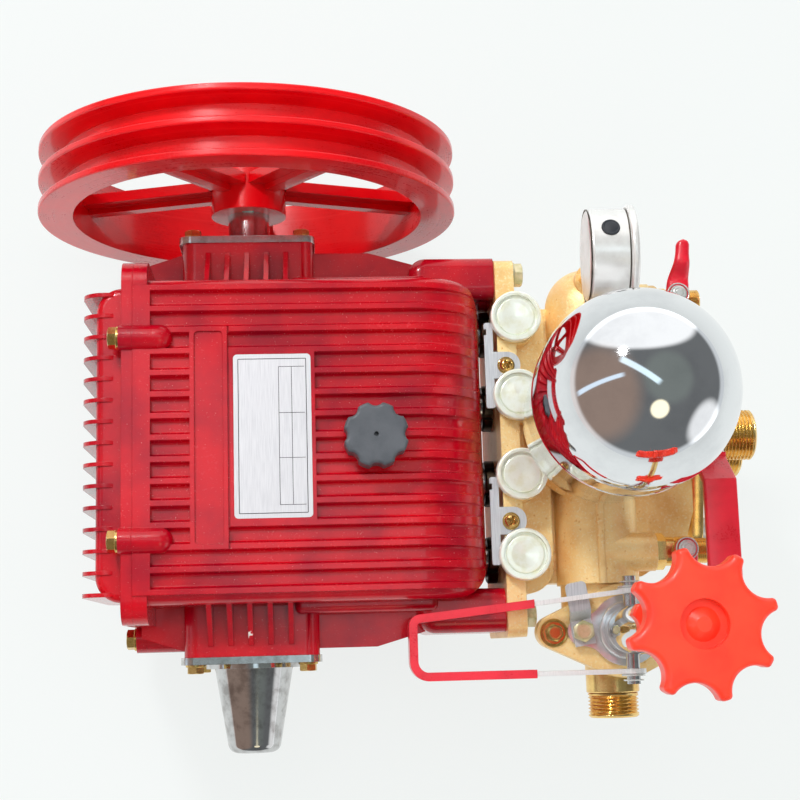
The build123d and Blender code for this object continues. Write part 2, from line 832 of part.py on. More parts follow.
def make_valve_caps():
    """The dished screw caps over the valves."""
    floor = cap_top - cap_dish_depth
    island_top = floor + cap_island_height
    caps = []
    for y in cylinder_y:
        cap = rod_z(cap_radius, valve_x, y, (cap_bottom, cap_top))
        cap = fillet(cap.edges(), 1.2)
        cap -= rod_z(cap_dish_radius, valve_x, y, (floor, cap_top + 1))
        island = rod_z(cap_island_radius, valve_x, y, (floor - 0.01, island_top))
        island = fillet(island.edges().sort_by(Axis.Z)[-1], cap_island_edge)
        dimple = Cone(*cap_dimple, align=(Align.CENTER, Align.CENTER, Align.MAX))
        cap += island - Pos(valve_x, y, island_top + 0.01) * dimple
        cap += rod_z(cap_neck_radius, valve_x, y, (block_half_height - cap_seat_depth, cap_bottom + 1))
        caps.append(cap)
    return Compound(children=caps)


def make_plungers():
    """The four plungers between the crankcase and the block."""
    return Compound(children=[rod_x(plunger_radius, (plunger_start, plunger_end), y, 0) for y in cylinder_y])


def make_gland_nuts():
    """The slotted gland nuts that press the packings round the plungers."""
    nuts = []
    for y in cylinder_y:
        ends = (block_rear - gland_length, block_rear)
        nut = rod_x(gland_radius, ends, y, 0)
        nut = chamfer(nut.edges().sort_by(Axis.X)[0], 1)
        for n in range(6):
            slot = block((ends[0] - 1, ends[1] + 1), (-gland_slot / 2, gland_slot / 2),
                         (gland_radius - 3, gland_radius + 1))
            nut -= Pos(0, y, 0) * Rot(n * 60 + 30, 0, 0) * slot
        nut -= rod_x(plunger_radius + seat_gap, (ends[0] - 1, ends[1] + 1), y, 0)
        nuts.append(nut)
    return Compound(children=nuts)


def make_lock_plates():
    """The two T-shaped plates on top of the block flange."""
    plates = []
    z = (block_half_height, block_half_height + lock_thickness)
    depth, length, reach = lock_notch
    for y in lock_y:
        strip = block((lock_rear, lock_strip_front), (y - lock_half_length, y + lock_half_length), z)
        strip = rounded(strip, Axis.Z, 1.5)
        strip -= block((lock_rear - 1, lock_rear + depth), (y + reach, y + reach + length),
                       (z[0] - 1, z[1] + 1))
        tab = block((lock_rear + 2, lock_tab_front), (y - lock_tab_width / 2, y + lock_tab_width / 2), z)
        tab = fillet(tab.edges().filter_by(Axis.Z).group_by(Axis.X)[-1], lock_tab_width / 2 - 0.5)
        plate = strip + tab
        for neck_y in cylinder_y:
            plate -= rod_z(cap_neck_radius + seat_gap, valve_x, neck_y, (z[0] - 1, z[1] + 1))
        plates.append(plate)
    return Compound(children=plates)


def make_delivery_manifold():
    """The cast brass tube over the valves, with bosses for what is screwed into it."""
    straight = Polyline((0, manifold_pulley_end + manifold_radius), (0, manifold_regulator_end),
                        (manifold_radius, manifold_regulator_end), (manifold_radius, manifold_pulley_end))
    round_end = CenterArc((0, manifold_pulley_end), manifold_radius, 0, 90)
    profile = make_face((Curve() + [straight, round_end]).edges())
    tube = Pos(manifold_x, 0, manifold_z) * revolve(profile, Axis.Y)
    tube += block((chest_front, manifold_x), (-manifold_half_joint, manifold_half_joint),
                  (manifold_bottom, manifold_z))
    tube += block((chest_front + 8, manifold_x + manifold_radius - 6),
                  (manifold_regulator_end + 6, manifold_pulley_end - 4), (manifold_bottom, manifold_z))
    ridge = block((parting_ridge_x - parting_ridge_width / 2, parting_ridge_x + parting_ridge_width / 2),
                  (manifold_regulator_end, manifold_pulley_end),
                  (manifold_z, manifold_z + manifold_radius + parting_ridge_height))
    tube += fillet(ridge.edges().filter_by(Axis.Y).group_by(Axis.Z)[-1], parting_ridge_height)
    root = Cone(chamber_root_radius, chamber_boss_radius, chamber_root_height,
                align=(Align.CENTER, Align.CENTER, Align.MIN))
    boss = rod_z(chamber_boss_radius, chamber_x, chamber_y, (manifold_z, chamber_seat_z))
    root = Pos(chamber_x, chamber_y, chest_top) * root
    for y in cylinder_y:
        root -= rod_z(valve_chamber_radius + seat_gap, valve_x, y, (chest_top - 1, block_half_height))
    boss += root
    tube += boss - block((0, chest_front), (-block_half_width, block_half_width), (0, chest_top))
    tube += rod_z(gauge_boss_radius, gauge_x, gauge_y - 2, (manifold_z, gauge_boss_top))
    tube += rod_x(main_valve_boss_radius, (manifold_x, main_valve_start), chamber_y, main_valve_z - 4)
    for y, shift in zip(small_valve_y, small_valve_shift):
        tube += rod_x(small_boss_radius, (manifold_x, small_valve_start + shift), y, small_valve_z)
    return tube


def make_suction_manifold():
    """The wide brass chest under the manifold, which feeds the valves."""
    cut_x = suction_front - suction_shoulder[0]
    cut_y = suction_front_half + suction_shoulder[1]
    outline = [(chest_front, -suction_side), (chest_front, suction_side), (suction_shoulder_x, suction_side),
               (cut_x, cut_y), (suction_front, suction_front_half), (suction_front, -suction_front_half),
               (cut_x, -cut_y), (suction_shoulder_x, -suction_side)]
    chest = plan(outline, (suction_bottom, manifold_bottom))
    chest = rounded(chest, Axis.Z, suction_edge)
    return fillet(chest.edges().group_by(Axis.Z)[0], suction_corner)


def oval_flange(reach, ear_radius, mid_radius, thickness):
    """A two-eared flange in the XY plane with its ears along X."""
    shape = Circle(mid_radius)
    for side in (-1, 1):
        shape += Pos(side * reach, 0) * Circle(ear_radius)
    shape = make_hull(shape.edges())
    return extrude(shape, thickness)


def make_suction_inlet():
    """The bolted flange and male thread of the suction inlet."""
    flange = oval_flange(inlet_flange_reach, inlet_ear_radius, inlet_flange_radius, inlet_flange_thickness)
    place = Plane(origin=(suction_front, chamber_y, inlet_z), x_dir=(0, 1, 0), z_dir=(1, 0, 0))
    inlet = place * flange
    inlet += rod_x(inlet_thread_radius, (suction_front + 1, inlet_end), chamber_y, inlet_z)
    inlet -= rod_x(inlet_bore_radius, (suction_front + 4, inlet_end + 1), chamber_y, inlet_z)
    return inlet


def make_air_chamber():
    """The upright pressure vessel, a little wider at its shoulder than at its foot."""
    foot = (chamber_foot_radius, chamber_seat_z + chamber_foot_height)
    low = (chamber_low_radius, chamber_seat_z + chamber_low_height)
    shoulder = (chamber_radius, chamber_seat_z + chamber_shoulder_height)
    top = (0, chamber_seat_z + chamber_height)
    lean = (chamber_radius - chamber_low_radius, chamber_shoulder_height - chamber_low_height)
    bowl = Spline(foot, low, tangents=((1, 0.15), lean))
    side = Line(low, shoulder)
    dome = Spline(shoulder, top, tangents=(lean, (-1, 0)))
    outline = Polyline(top, (0, chamber_seat_z), (chamber_foot_radius, chamber_seat_z), foot)
    edges = Curve() + [bowl, side, dome, outline]
    return Pos(chamber_x, chamber_y, 0) * turned(edges.edges())


def gauge_ring(radius, x, bore=0.0):
    """A round layer of the gauge between two places along X."""
    ring = rod_x(radius, x, gauge_y, gauge_z)
    if bore:
        ring -= rod_x(bore, (x[0] - 1, x[1] + 1), gauge_y, gauge_z)
    return ring


def make_gauge():
    """The pressure gauge as its separate pieces, its head leaning back a little."""
    cup_floor = gauge_body_front - gauge_cup_depth
    case = gauge_ring(gauge_radius, (gauge_back, gauge_body_front))
    case = fillet(case.edges().sort_by(Axis.X)[0], 3)
    case -= gauge_ring(gauge_window_radius, (cup_floor, gauge_body_front + 1))
    bezel = gauge_ring(gauge_bezel_radius, (gauge_body_front, gauge_bezel_front))
    bezel = fillet(bezel.edges(), 2)
    bezel -= gauge_ring(gauge_window_radius, (gauge_body_front - 1, gauge_bezel_front + 1))
    dial = gauge_ring(gauge_window_radius - running_gap, (cup_floor, cup_floor + dial_thickness))
    glass_back = gauge_bezel_front - 1.5 - glass_thickness
    glass = gauge_ring(gauge_window_radius - running_gap, (glass_back, glass_back + glass_thickness))
    pointer_x = cup_floor + dial_thickness
    pointer = rod_x(pointer_hub_radius, (pointer_x, pointer_x + 3), 0, 0)
    needle = Polyline((0, -pointer_tail), (1.6, 0), (0.4, pointer_length), (-0.4, pointer_length),
                      (-1.6, 0), close=True)
    needle_place = Plane(origin=(pointer_x + 1.5, 0, 0), x_dir=(0, 1, 0), z_dir=(1, 0, 0))
    pointer += extrude(needle_place * make_face(needle), 0.8)
    pointer = Pos(0, gauge_y, gauge_z) * Rot(pointer_turn, 0, 0) * pointer
    plug_x = (gauge_back + gauge_body_front) / 2 - 4
    plug = rod_z(gauge_plug_radius, plug_x, 0, (gauge_radius - 0.6, gauge_radius + gauge_plug_height))
    plug = Pos(0, gauge_y, gauge_z) * Rot(-gauge_plug_tilt, 0, 0) * plug
    plug -= gauge_ring(gauge_radius, (gauge_back, gauge_body_front))
    middle = Pos(gauge_x, gauge_y, gauge_z)
    lean = middle * Rot(0, -gauge_lean, 0) * middle.inverse()
    head = {"gauge_case": case, "gauge_bezel": bezel, "gauge_dial": dial, "gauge_glass": glass,
            "gauge_pointer": pointer, "gauge_plug": plug}
    head = {name: lean * piece for name, piece in head.items()}
    hex_top = gauge_boss_top + gauge_hex_height
    stem = hex_z(gauge_hex, gauge_x, gauge_y - 2, (gauge_boss_top, hex_top))
    neck = rod_z(gauge_neck_radius, gauge_x, gauge_y - 2, (hex_top - 1, gauge_z))
    stem += neck - lean * gauge_ring(gauge_radius, (gauge_back, gauge_body_front))
    return head | {"gauge_stem": stem}


def make_regulator_body():
    """The brass regulator body with its eared flange, joined to the manifold's end."""
    body = rod_z(regulator_body_radius, regulator_x, regulator_y, (regulator_bottom, regulator_flange_top))
    body = fillet(body.edges().group_by(Axis.Z)[0], 5)
    flange = oval_flange(regulator_ear_reach, regulator_ear_radius, regulator_mid_radius,
                         regulator_flange_thickness)
    body += Pos(regulator_x, regulator_y, regulator_flange_top - regulator_flange_thickness) * flange
    body += rod_y(manifold_radius - 3, manifold_x, (regulator_y, manifold_regulator_end), manifold_z - 4)
    body += rod_y(bypass_boss_radius, bypass_x, (bypass_boss_end, regulator_y), bypass_z)
    return body


def make_bypass_outlet():
    """The male thread that lets the surplus flow back."""
    nipple = rod_y(bypass_collar_radius, bypass_x, (bypass_collar_end, bypass_boss_end), bypass_z)
    nipple += rod_y(outlet_thread_radius, bypass_x, (bypass_end, bypass_collar_end + 1), bypass_z)
    nipple = chamfer(nipple.edges().sort_by(Axis.Y)[0], 1)
    return nipple - rod_y(outlet_bore_radius, bypass_x, (bypass_end - 1, bypass_boss_end - 3), bypass_z)


def make_regulator_plate():
    """The plated clamp plate with the collar that holds the spring cap."""
    plate_top = regulator_flange_top + regulator_plate_thickness
    reach = regulator_plate_reach
    from_middle = regulator_plate_mid + regulator_plate_hollow
    from_ear = regulator_plate_ear + regulator_plate_hollow
    hollow_x = (reach ** 2 + from_middle ** 2 - from_ear ** 2) / (2 * reach)
    hollow_y = (from_middle ** 2 - hollow_x ** 2) ** 0.5
    outline = Circle(regulator_plate_mid)
    for side in (-1, 1):
        outline += Pos(side * reach, 0) * Circle(regulator_plate_ear)
        outline += make_face(Polyline((0, 0), (side * hollow_x, hollow_y), (side * reach, 0),
                                      (side * hollow_x, -hollow_y), close=True))
    for side in (-1, 1):
        for way in (-1, 1):
            outline -= Pos(side * hollow_x, way * hollow_y) * Circle(regulator_plate_hollow)
    plate = Pos(0, 0, regulator_flange_top) * extrude(outline, regulator_plate_thickness)
    collar = rod_z(regulator_collar_radius, 0, 0, (plate_top - 1, regulator_collar_top))
    collar = fillet(collar.edges().sort_by(Axis.Z)[-1], 1.2)
    plate += collar
    plate -= rod_z(regulator_cap_radius, 0, 0, (regulator_flange_top - 1, regulator_collar_top + 1))
    return Pos(regulator_x, regulator_y, 0) * plate


def make_regulator_cap():
    """The tall spring cap, narrowing to the neck that holds the screw."""
    shoulder = (regulator_cap_radius, regulator_cap_shoulder)
    neck = (regulator_cap_neck_radius, regulator_cap_top - regulator_neck_length)
    side = Spline(shoulder, neck, tangents=((0, 1), (-0.12, 1)))
    rest = Polyline(neck, (regulator_cap_neck_radius, regulator_cap_top), (0, regulator_cap_top),
                    (0, regulator_flange_top), (regulator_cap_radius, regulator_flange_top), shoulder)
    cap = turned((Curve() + [side, rest]).edges())
    cap -= rod_z(screw_radius + running_gap, 0, 0, (screw_bottom - 2, regulator_cap_top + 1))
    cap = Pos(regulator_x, regulator_y, 0) * cap
    return cap - rod_y(lever_pin_radius, regulator_x, (2 * regulator_y, 0), lever_z)


def star(radius, scallop_radius, valley_radius, lobes, tip):
    """The outline of a knob: a disc with round bites between its lobes."""
    outline = Circle(radius)
    for n in range(lobes):
        angle = radians(n * 360 / lobes)
        reach = valley_radius + scallop_radius
        outline -= Pos(reach * cos(angle), reach * sin(angle)) * Circle(scallop_radius)
    return fillet(outline.vertices(), tip)


def make_lock_nut():
    """The lobed nut that locks the adjusting screw."""
    outline = star(lock_nut_radius, lock_nut_scallop, lock_nut_valley, lock_nut_lobes, 1.5)
    nut = extrude(outline, lock_nut_height)
    nut = fillet(nut.faces().sort_by(Axis.Z)[-1].edges(), lock_nut_edge)
    nut -= rod_z(screw_radius + running_gap, 0, 0, (-1, lock_nut_height + 1))
    return Pos(regulator_x, regulator_y, regulator_cap_top) * nut


def make_adjusting_screw():
    """The screw that the handwheel turns."""
    return rod_z(screw_radius, regulator_x, regulator_y, (screw_bottom, wheel_bottom + wheel_thickness / 2))


def make_handwheel():
    """The eight-lobed handwheel with a domed recess in its top."""
    top = wheel_bottom + wheel_thickness
    outline = star(wheel_radius, wheel_scallop_radius, wheel_valley_radius, wheel_lobes, wheel_tip)
    disc = extrude(outline, wheel_thickness)
    disc = fillet(disc.faces().filter_by(Axis.Z).edges(), wheel_edge)
    disc = Pos(0, 0, wheel_bottom) * Rot(0, 0, wheel_phase) * disc
    disc += rod_z(wheel_hub_radius, 0, 0, (wheel_hub_bottom, wheel_bottom + 1))
    disc -= rod_z(wheel_recess_radius, 0, 0, (top - wheel_recess_depth, top + 1))
    dome = Cone(*wheel_dome, align=(Align.CENTER, Align.CENTER, Align.MIN))
    disc += Pos(0, 0, top - wheel_recess_depth - 0.01) * dome
    disc -= rod_z(screw_radius, 0, 0, (wheel_hub_bottom - 1, wheel_bottom + wheel_thickness / 2))
    return Pos(regulator_x, regulator_y, 0) * disc


def lever_outline(grow):
    """The bow of the relief lever seen from above, wider by grow on each side."""
    past = regulator_x + lever_reach
    half = lever_thickness / 2
    near_corner = (lever_end_x - half, lever_near_end_y + half)
    far_corner = (lever_end_x - half, lever_far_y - half)
    outer = [(past, lever_near_y + half), (regulator_x, lever_near_y + half),
             (lever_bend_x, lever_near_bend_y + half), near_corner, far_corner,
             (past, lever_far_y - half)]
    face = make_face(Polyline(*outer, close=True))
    for corner, radius in ((near_corner, lever_near_corner), (far_corner, lever_far_corner)):
        face = fillet(face.vertices().sort_by_distance(corner)[0], radius)
    return offset(face, grow) - offset(face, -lever_thickness - grow)


def make_relief_lever():
    """The flat bow that pivots on the pin through the spring cap."""
    bow = extrude(lever_outline(0), lever_height / 2, both=True)
    bow = Pos(0, 0, lever_z) * bow
    bow &= block((regulator_x - lever_reach, regulator_x), (2 * regulator_y, 0),
                 (lever_z - lever_height, lever_z + lever_height))
    for y in (lever_near_y, lever_far_y):
        eye_y = (y - lever_thickness / 2, y + lever_thickness / 2)
        bow += rod_y(lever_eye_radius, regulator_x, eye_y, lever_z)
    return bow - rod_y(lever_pin_radius + running_gap, regulator_x, (2 * regulator_y, 0), lever_z)


def make_relief_grip():
    """The vinyl sleeve over the far part of the bow."""
    sleeve = extrude(lever_outline(grip_wall), lever_height / 2 + grip_wall, both=True)
    sleeve = Pos(0, 0, lever_z) * sleeve
    sleeve &= block((regulator_x - lever_reach, grip_start_x), (2 * regulator_y, 0),
                    (lever_z - lever_height, lever_z + lever_height))
    core = Pos(0, 0, lever_z) * extrude(lever_outline(0), lever_height / 2, both=True)
    return sleeve - core


def make_lever_pin():
    """The pin through the spring cap."""
    y = (regulator_y - lever_pin_half, regulator_y + lever_pin_half)
    return rod_y(lever_pin_radius, regulator_x, y, lever_z)


def make_lever_stop():
    """The bent strip under the clamp bolt, on which the lever rests."""
    low = regulator_flange_top + regulator_plate_thickness
    high = lever_z - lever_height / 2 - seat_gap
    start_y, foot_y, bend_y = [regulator_y + step for step in stop_steps]
    points = [(start_y, low), (foot_y + 1, low), (bend_y + 2, high - stop_thickness),
              (stop_reach_y, high - stop_thickness), (stop_reach_y, high), (bend_y, high),
              (foot_y, low + stop_thickness), (start_y, low + stop_thickness)]
    place = Plane(origin=(stop_x[0], 0, 0), x_dir=(0, 1, 0), z_dir=(1, 0, 0))
    strip = extrude(place * make_face(Polyline(*points, close=True)), stop_x[1] - stop_x[0])
    strip = fillet(strip.edges().filter_by(Axis.Z).group_by(Axis.Y)[-1], stop_corner)
    middle = Pos((stop_x[0] + stop_x[1]) / 2, regulator_y, 0)
    return middle * Rot(0, 0, stop_turn) * middle.inverse() * strip


def make_main_valve():
    """The body of the ball valve on the main outlet."""
    hex_end = main_valve_start + main_valve_hex_length
    body = hex_x(main_valve_hex, (main_valve_start, hex_end), chamber_y, main_valve_z)
    shell = rod_x(main_valve_body_radius, (hex_end - 1, main_valve_thread_start), chamber_y, main_valve_z)
    body += chamfer(shell.edges().sort_by(Axis.X)[-1], 3)
    body += rod_x(outlet_thread_radius, (main_valve_thread_start - 1, main_valve_end),
                  chamber_y, main_valve_z)
    body += rod_z(main_valve_bonnet_radius, main_valve_stem_x, chamber_y,
                  (main_valve_z, main_valve_bonnet_top))
    body -= rod_z(main_stem_radius + running_gap, main_valve_stem_x, chamber_y,
                  (main_valve_bonnet_top - main_stem_depth - 1, main_valve_bonnet_top + 1))
    return body - rod_x(outlet_bore_radius, (main_valve_thread_start, main_valve_end + 1),
                        chamber_y, main_valve_z)


def make_main_lever():
    """The bent lever of the main valve with its stem and nut."""
    lever_plane = Plane(origin=(main_valve_stem_x, chamber_y, 0), x_dir=(0, 1, 0), z_dir=(1, 0, 0))
    near, far = main_lever_bend
    t = main_lever_thickness
    points = [(main_lever_width / 2, main_lever_low), (near, main_lever_low), (far, main_lever_high),
              (main_lever_end, main_lever_high), (main_lever_end, main_lever_high + t),
              (far - 1, main_lever_high + t), (near - 1, main_lever_low + t),
              (main_lever_width / 2, main_lever_low + t)]
    arm = extrude(lever_plane * make_face(Polyline(*points, close=True)), main_lever_width / 2, both=True)
    nut_top = main_lever_low + t + main_stem_nut_height
    stem = rod_z(main_stem_radius, main_valve_stem_x, chamber_y,
                 (main_valve_bonnet_top - main_stem_depth, nut_top + 2))
    nut = hex_z(main_stem_nut, main_valve_stem_x, chamber_y, (main_lever_low + t, nut_top))
    return arm + stem + nut


def make_main_grip():
    """The vinyl sleeve over the outer part of the main lever."""
    x = (main_valve_stem_x - main_lever_width / 2, main_valve_stem_x + main_lever_width / 2)
    z = (main_lever_high, main_lever_high + main_lever_thickness)
    y = (chamber_y + main_lever_end, chamber_y + main_lever_bend[1] - 4)
    w = main_grip_wall
    sleeve = block((x[0] - w, x[1] + w), (y[0] - w, y[1]), (z[0] - w, z[1] + w))
    sleeve = rounded(sleeve, Axis.Y, 1.0)
    return sleeve - block(x, (y[0], y[1] + 1), z)


def make_small_valve(y, shift):
    """The body of one small ball valve, set further out by shift."""
    hex_end = small_valve_start + small_hex_length
    body = hex_x(small_hex, (small_valve_start, hex_end), y, small_valve_z)
    body += rod_x(small_body_radius, (hex_end - 1, small_thread_start), y, small_valve_z)
    body += rod_x(small_thread_radius, (small_thread_start - 1, small_valve_end), y, small_valve_z)
    body += rod_z(small_bonnet_radius, small_stem_x, y, (small_valve_z, small_bonnet_top))
    body -= rod_z(small_stem_radius + running_gap, small_stem_x, y,
                  (small_bonnet_top - 7, small_bonnet_top + 1))
    body -= rod_x(small_bore_radius, (small_thread_start + 1, small_valve_end + 1), y, small_valve_z)
    return Pos(shift, 0, 0) * body


def make_small_lever(y, way, shift):
    """The lever of one small valve, narrower towards its tip and pointing along Y the given way."""
    length = small_lever_length
    half = small_lever_width / 2
    tip = small_lever_tip_width / 2
    z = small_lever_z
    place = Plane(origin=(small_stem_x, y, 0), x_dir=(0, way, 0), z_dir=(way, 0, 0))
    high = z + small_lever_rise
    t = small_lever_thickness
    low_bend, high_bend = small_lever_bend
    points = [(-half, z), (low_bend, z), (high_bend, high), (length, high), (length, high + t),
              (high_bend - 2, high + t), (low_bend - 2, z + t), (-half, z + t)]
    arm = extrude(place * make_face(Polyline(*points, close=True)), half, both=True)
    outline = make_face(Polyline((-half, -half), (half, -half), (tip, length), (-tip, length), close=True))
    outline = fillet(outline.vertices().group_by(Axis.Y)[-1], tip - 0.3)
    outline = fillet(outline.vertices().group_by(Axis.Y)[0], half - 1)
    turn = Rot(0, 0, 0 if way > 0 else 180)
    arm &= Pos(small_stem_x, y, z - 1) * turn * extrude(outline, small_lever_rise + t + 2)
    arm += rod_z(small_stem_radius, small_stem_x, y, (small_bonnet_top - 6, z + 1))
    return Pos(shift, 0, 0) * arm


def make_filler_cap():
    """The lobed oil filler cap with its vent hole."""
    outline = star(filler_radius, filler_scallop_radius, filler_valley_radius, filler_lobes, 1.2)
    knob = extrude(outline, filler_height)
    knob = fillet(knob.faces().sort_by(Axis.Z)[-1].edges(), 2.0)
    knob = Pos(filler_x, filler_y, filler_neck_top + seat_gap) * knob
    knob += rod_z(filler_stem_radius, filler_x, filler_y,
                  (filler_neck_top - filler_stem_depth, filler_neck_top + seat_gap + 1))
    knob_top = filler_neck_top + filler_height
    return knob - rod_z(filler_vent_radius, filler_x, filler_y, (knob_top - filler_vent_depth, knob_top + 1))


def make_nameplate():
    """The bare plate in its frame on the crankcase."""
    top = case_top + rib_height
    plate = block(plate_x, (-plate_half_length, plate_half_length), (top - plate_thickness, top))
    return rounded(plate, Axis.Z, plate_corner)


def make_drain_plug():
    """The hexagonal oil drain plug low on the rear cover."""
    back = -case_rear - rear_cover_flange - rear_cover_depth
    plug = hex_x(drain_hex, (back - plug_projection, back - drain_collar), 0, drain_z)
    return plug + rod_x(drain_hex / 2 + drain_collar, (back - drain_collar, back), 0, drain_z)


def make_sight_glass():
    """The round oil level window in the rear cover."""
    back = -case_rear - rear_cover_flange - rear_cover_depth
    face = back - plug_projection
    window = rod_x(sight_radius, (face, back + sight_depth), sight_y, sight_z)
    return window - rod_x(sight_radius - sight_rim, (face - 1, face + sight_recess), sight_y, sight_z)


keep("crankcase", make_crankcase())
keep("rear_cover", make_rear_cover())
keep("nameplate", make_nameplate())
keep("drain_plug", make_drain_plug())
keep("sight_glass", make_sight_glass())
keep("oil_filler_cap", make_filler_cap())
keep("crankshaft", make_crankshaft())
keep("pulley", make_pulley())
keep("bearing_cover", make_bearing_cover())
keep("end_cover", make_end_cover())
keep("shaft_guard", make_shaft_guard())
keep("cylinder_block", make_cylinder_block())
keep("valve_caps", make_valve_caps())
keep("plungers", make_plungers())
keep("gland_nuts", make_gland_nuts())
keep("lock_plates", make_lock_plates())
keep("delivery_manifold", make_delivery_manifold())
keep("suction_manifold", make_suction_manifold())
keep("suction_inlet", make_suction_inlet())
keep("air_chamber", make_air_chamber())
for name, piece in make_gauge().items():
    keep(name, piece)
keep("regulator_body", make_regulator_body())
keep("bypass_outlet", make_bypass_outlet())
keep("regulator_plate", make_regulator_plate())
keep("regulator_cap", make_regulator_cap())
keep("lock_nut", make_lock_nut())
keep("adjusting_screw", make_adjusting_screw())
keep("handwheel", make_handwheel())
keep("relief_lever", make_relief_lever())
keep("relief_grip", make_relief_grip())
keep("lever_pin", make_lever_pin())
keep("lever_stop", make_lever_stop())
keep("main_valve", make_main_valve())
keep("main_valve_lever", make_main_lever())
keep("main_valve_grip", make_main_grip())
small_valves = zip(("pulley_side", "regulator_side"), small_valve_y, (1, -1), small_valve_shift)
for label, y, way, shift in small_valves:
    keep(f"small_valve_{label}", make_small_valve(y, shift))
    keep(f"small_lever_{label}", make_small_lever(y, way, shift))
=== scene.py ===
"""Looks of a belt-driven plunger pump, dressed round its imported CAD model.

Sizes are in millimetres from the crank's axis (X = 0, Z = 0) and the crankcase's middle
plane (Y = 0), as in the drawing of the solids. Form.done() moves each piece into the row frame.
"""

import logging
import math
from dataclasses import dataclass, field
from enum import Enum
from typing import Callable, Sequence, Union

import bmesh
import bpy
from mathutils import Matrix, Vector


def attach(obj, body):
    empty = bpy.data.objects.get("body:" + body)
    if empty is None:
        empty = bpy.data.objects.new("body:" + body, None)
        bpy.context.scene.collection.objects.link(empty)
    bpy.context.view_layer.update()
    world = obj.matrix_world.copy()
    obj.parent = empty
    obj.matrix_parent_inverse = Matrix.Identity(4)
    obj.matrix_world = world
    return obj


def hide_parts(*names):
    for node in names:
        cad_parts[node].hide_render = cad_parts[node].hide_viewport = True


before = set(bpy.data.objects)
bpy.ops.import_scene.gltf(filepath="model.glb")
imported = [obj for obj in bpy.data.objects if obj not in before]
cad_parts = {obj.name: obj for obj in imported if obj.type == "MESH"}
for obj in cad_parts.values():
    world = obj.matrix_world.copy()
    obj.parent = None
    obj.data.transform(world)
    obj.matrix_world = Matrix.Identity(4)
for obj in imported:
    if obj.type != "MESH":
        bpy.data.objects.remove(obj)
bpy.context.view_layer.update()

LOG = logging.getLogger("pump")
MM = 0.001
ORIGIN_X = 30.0
CRANK_HEIGHT = 150.0

Colour = tuple[float, float, float, float]
Point = tuple[float, float, float]
Number = Union[float, "Wire"]


def row(x: float, y: float, z: float) -> Vector:
    """A place on the drawing as a point of the row frame, in metres."""
    return Vector(((x - ORIGIN_X) * MM, y * MM, (z + CRANK_HEIGHT) * MM))


def tone(red: int, green: int, blue: int) -> Colour:
    """The linear colour of a tint that is given as it looks on a screen.

    Args:
        red: Its red, 0 to 255.
        green: Its green.
        blue: Its blue.

    Returns:
        The colour that a socket takes.
    """
    def linear(v: float) -> float:
        """One channel, from the screen's curve to linear light."""
        return v / 12.92 if v <= 0.04045 else ((v + 0.055) / 1.055) ** 2.4
    return (linear(red / 255), linear(green / 255), linear(blue / 255), 1.0)


class Axis(Enum):
    """The direction along which a piece is turned, drawn or brushed."""

    X = 0
    Y = 1
    Z = 2

    def vector(self) -> Vector:
        """The unit vector of this direction."""
        made = Vector((0, 0, 0))
        made[self.value] = 1
        return made


# ---- Shader maths


class Wire:
    """A value in a material, on which arithmetic adds Math nodes."""

    def __init__(self, shop: "Shop", socket: bpy.types.NodeSocket) -> None:
        """Keep the socket and the material it is in."""
        self.shop = shop
        self.socket = socket

    def maths(self, operation: str, *values: Number) -> "Wire":
        """Add one Math node.

        Args:
            operation: Blender's name of the sum.
            values: Its inputs in order, numbers or wires.

        Returns:
            The node's result.
        """
        settings = {"operation": operation}
        return self.shop.wire("ShaderNodeMath", settings, dict(enumerate(values)))

    def __add__(self, other: Number) -> "Wire":
        """self + other."""
        return self.maths("ADD", self, other)

    __radd__ = __add__

    def __sub__(self, other: Number) -> "Wire":
        """self - other."""
        return self.maths("SUBTRACT", self, other)

    def __rsub__(self, other: Number) -> "Wire":
        """other - self."""
        return self.maths("SUBTRACT", other, self)

    def __mul__(self, other: Number) -> "Wire":
        """self * other."""
        return self.maths("MULTIPLY", self, other)

    __rmul__ = __mul__

    def above(self, edge: float, soft: float) -> "Wire":
        """0 below edge, 1 above it, with a soft step of that width between them."""
        return self.shop.wire("ShaderNodeMapRange", {"interpolation_type": "SMOOTHSTEP"},
                              {"Value": self, "From Min": edge - soft / 2, "From Max": edge + soft / 2,
                               "To Min": 0.0, "To Max": 1.0})

    def below(self, edge: float, soft: float) -> "Wire":
        """1 below edge, 0 above it, with a soft step between them."""
        return 1 - self.above(edge, soft)


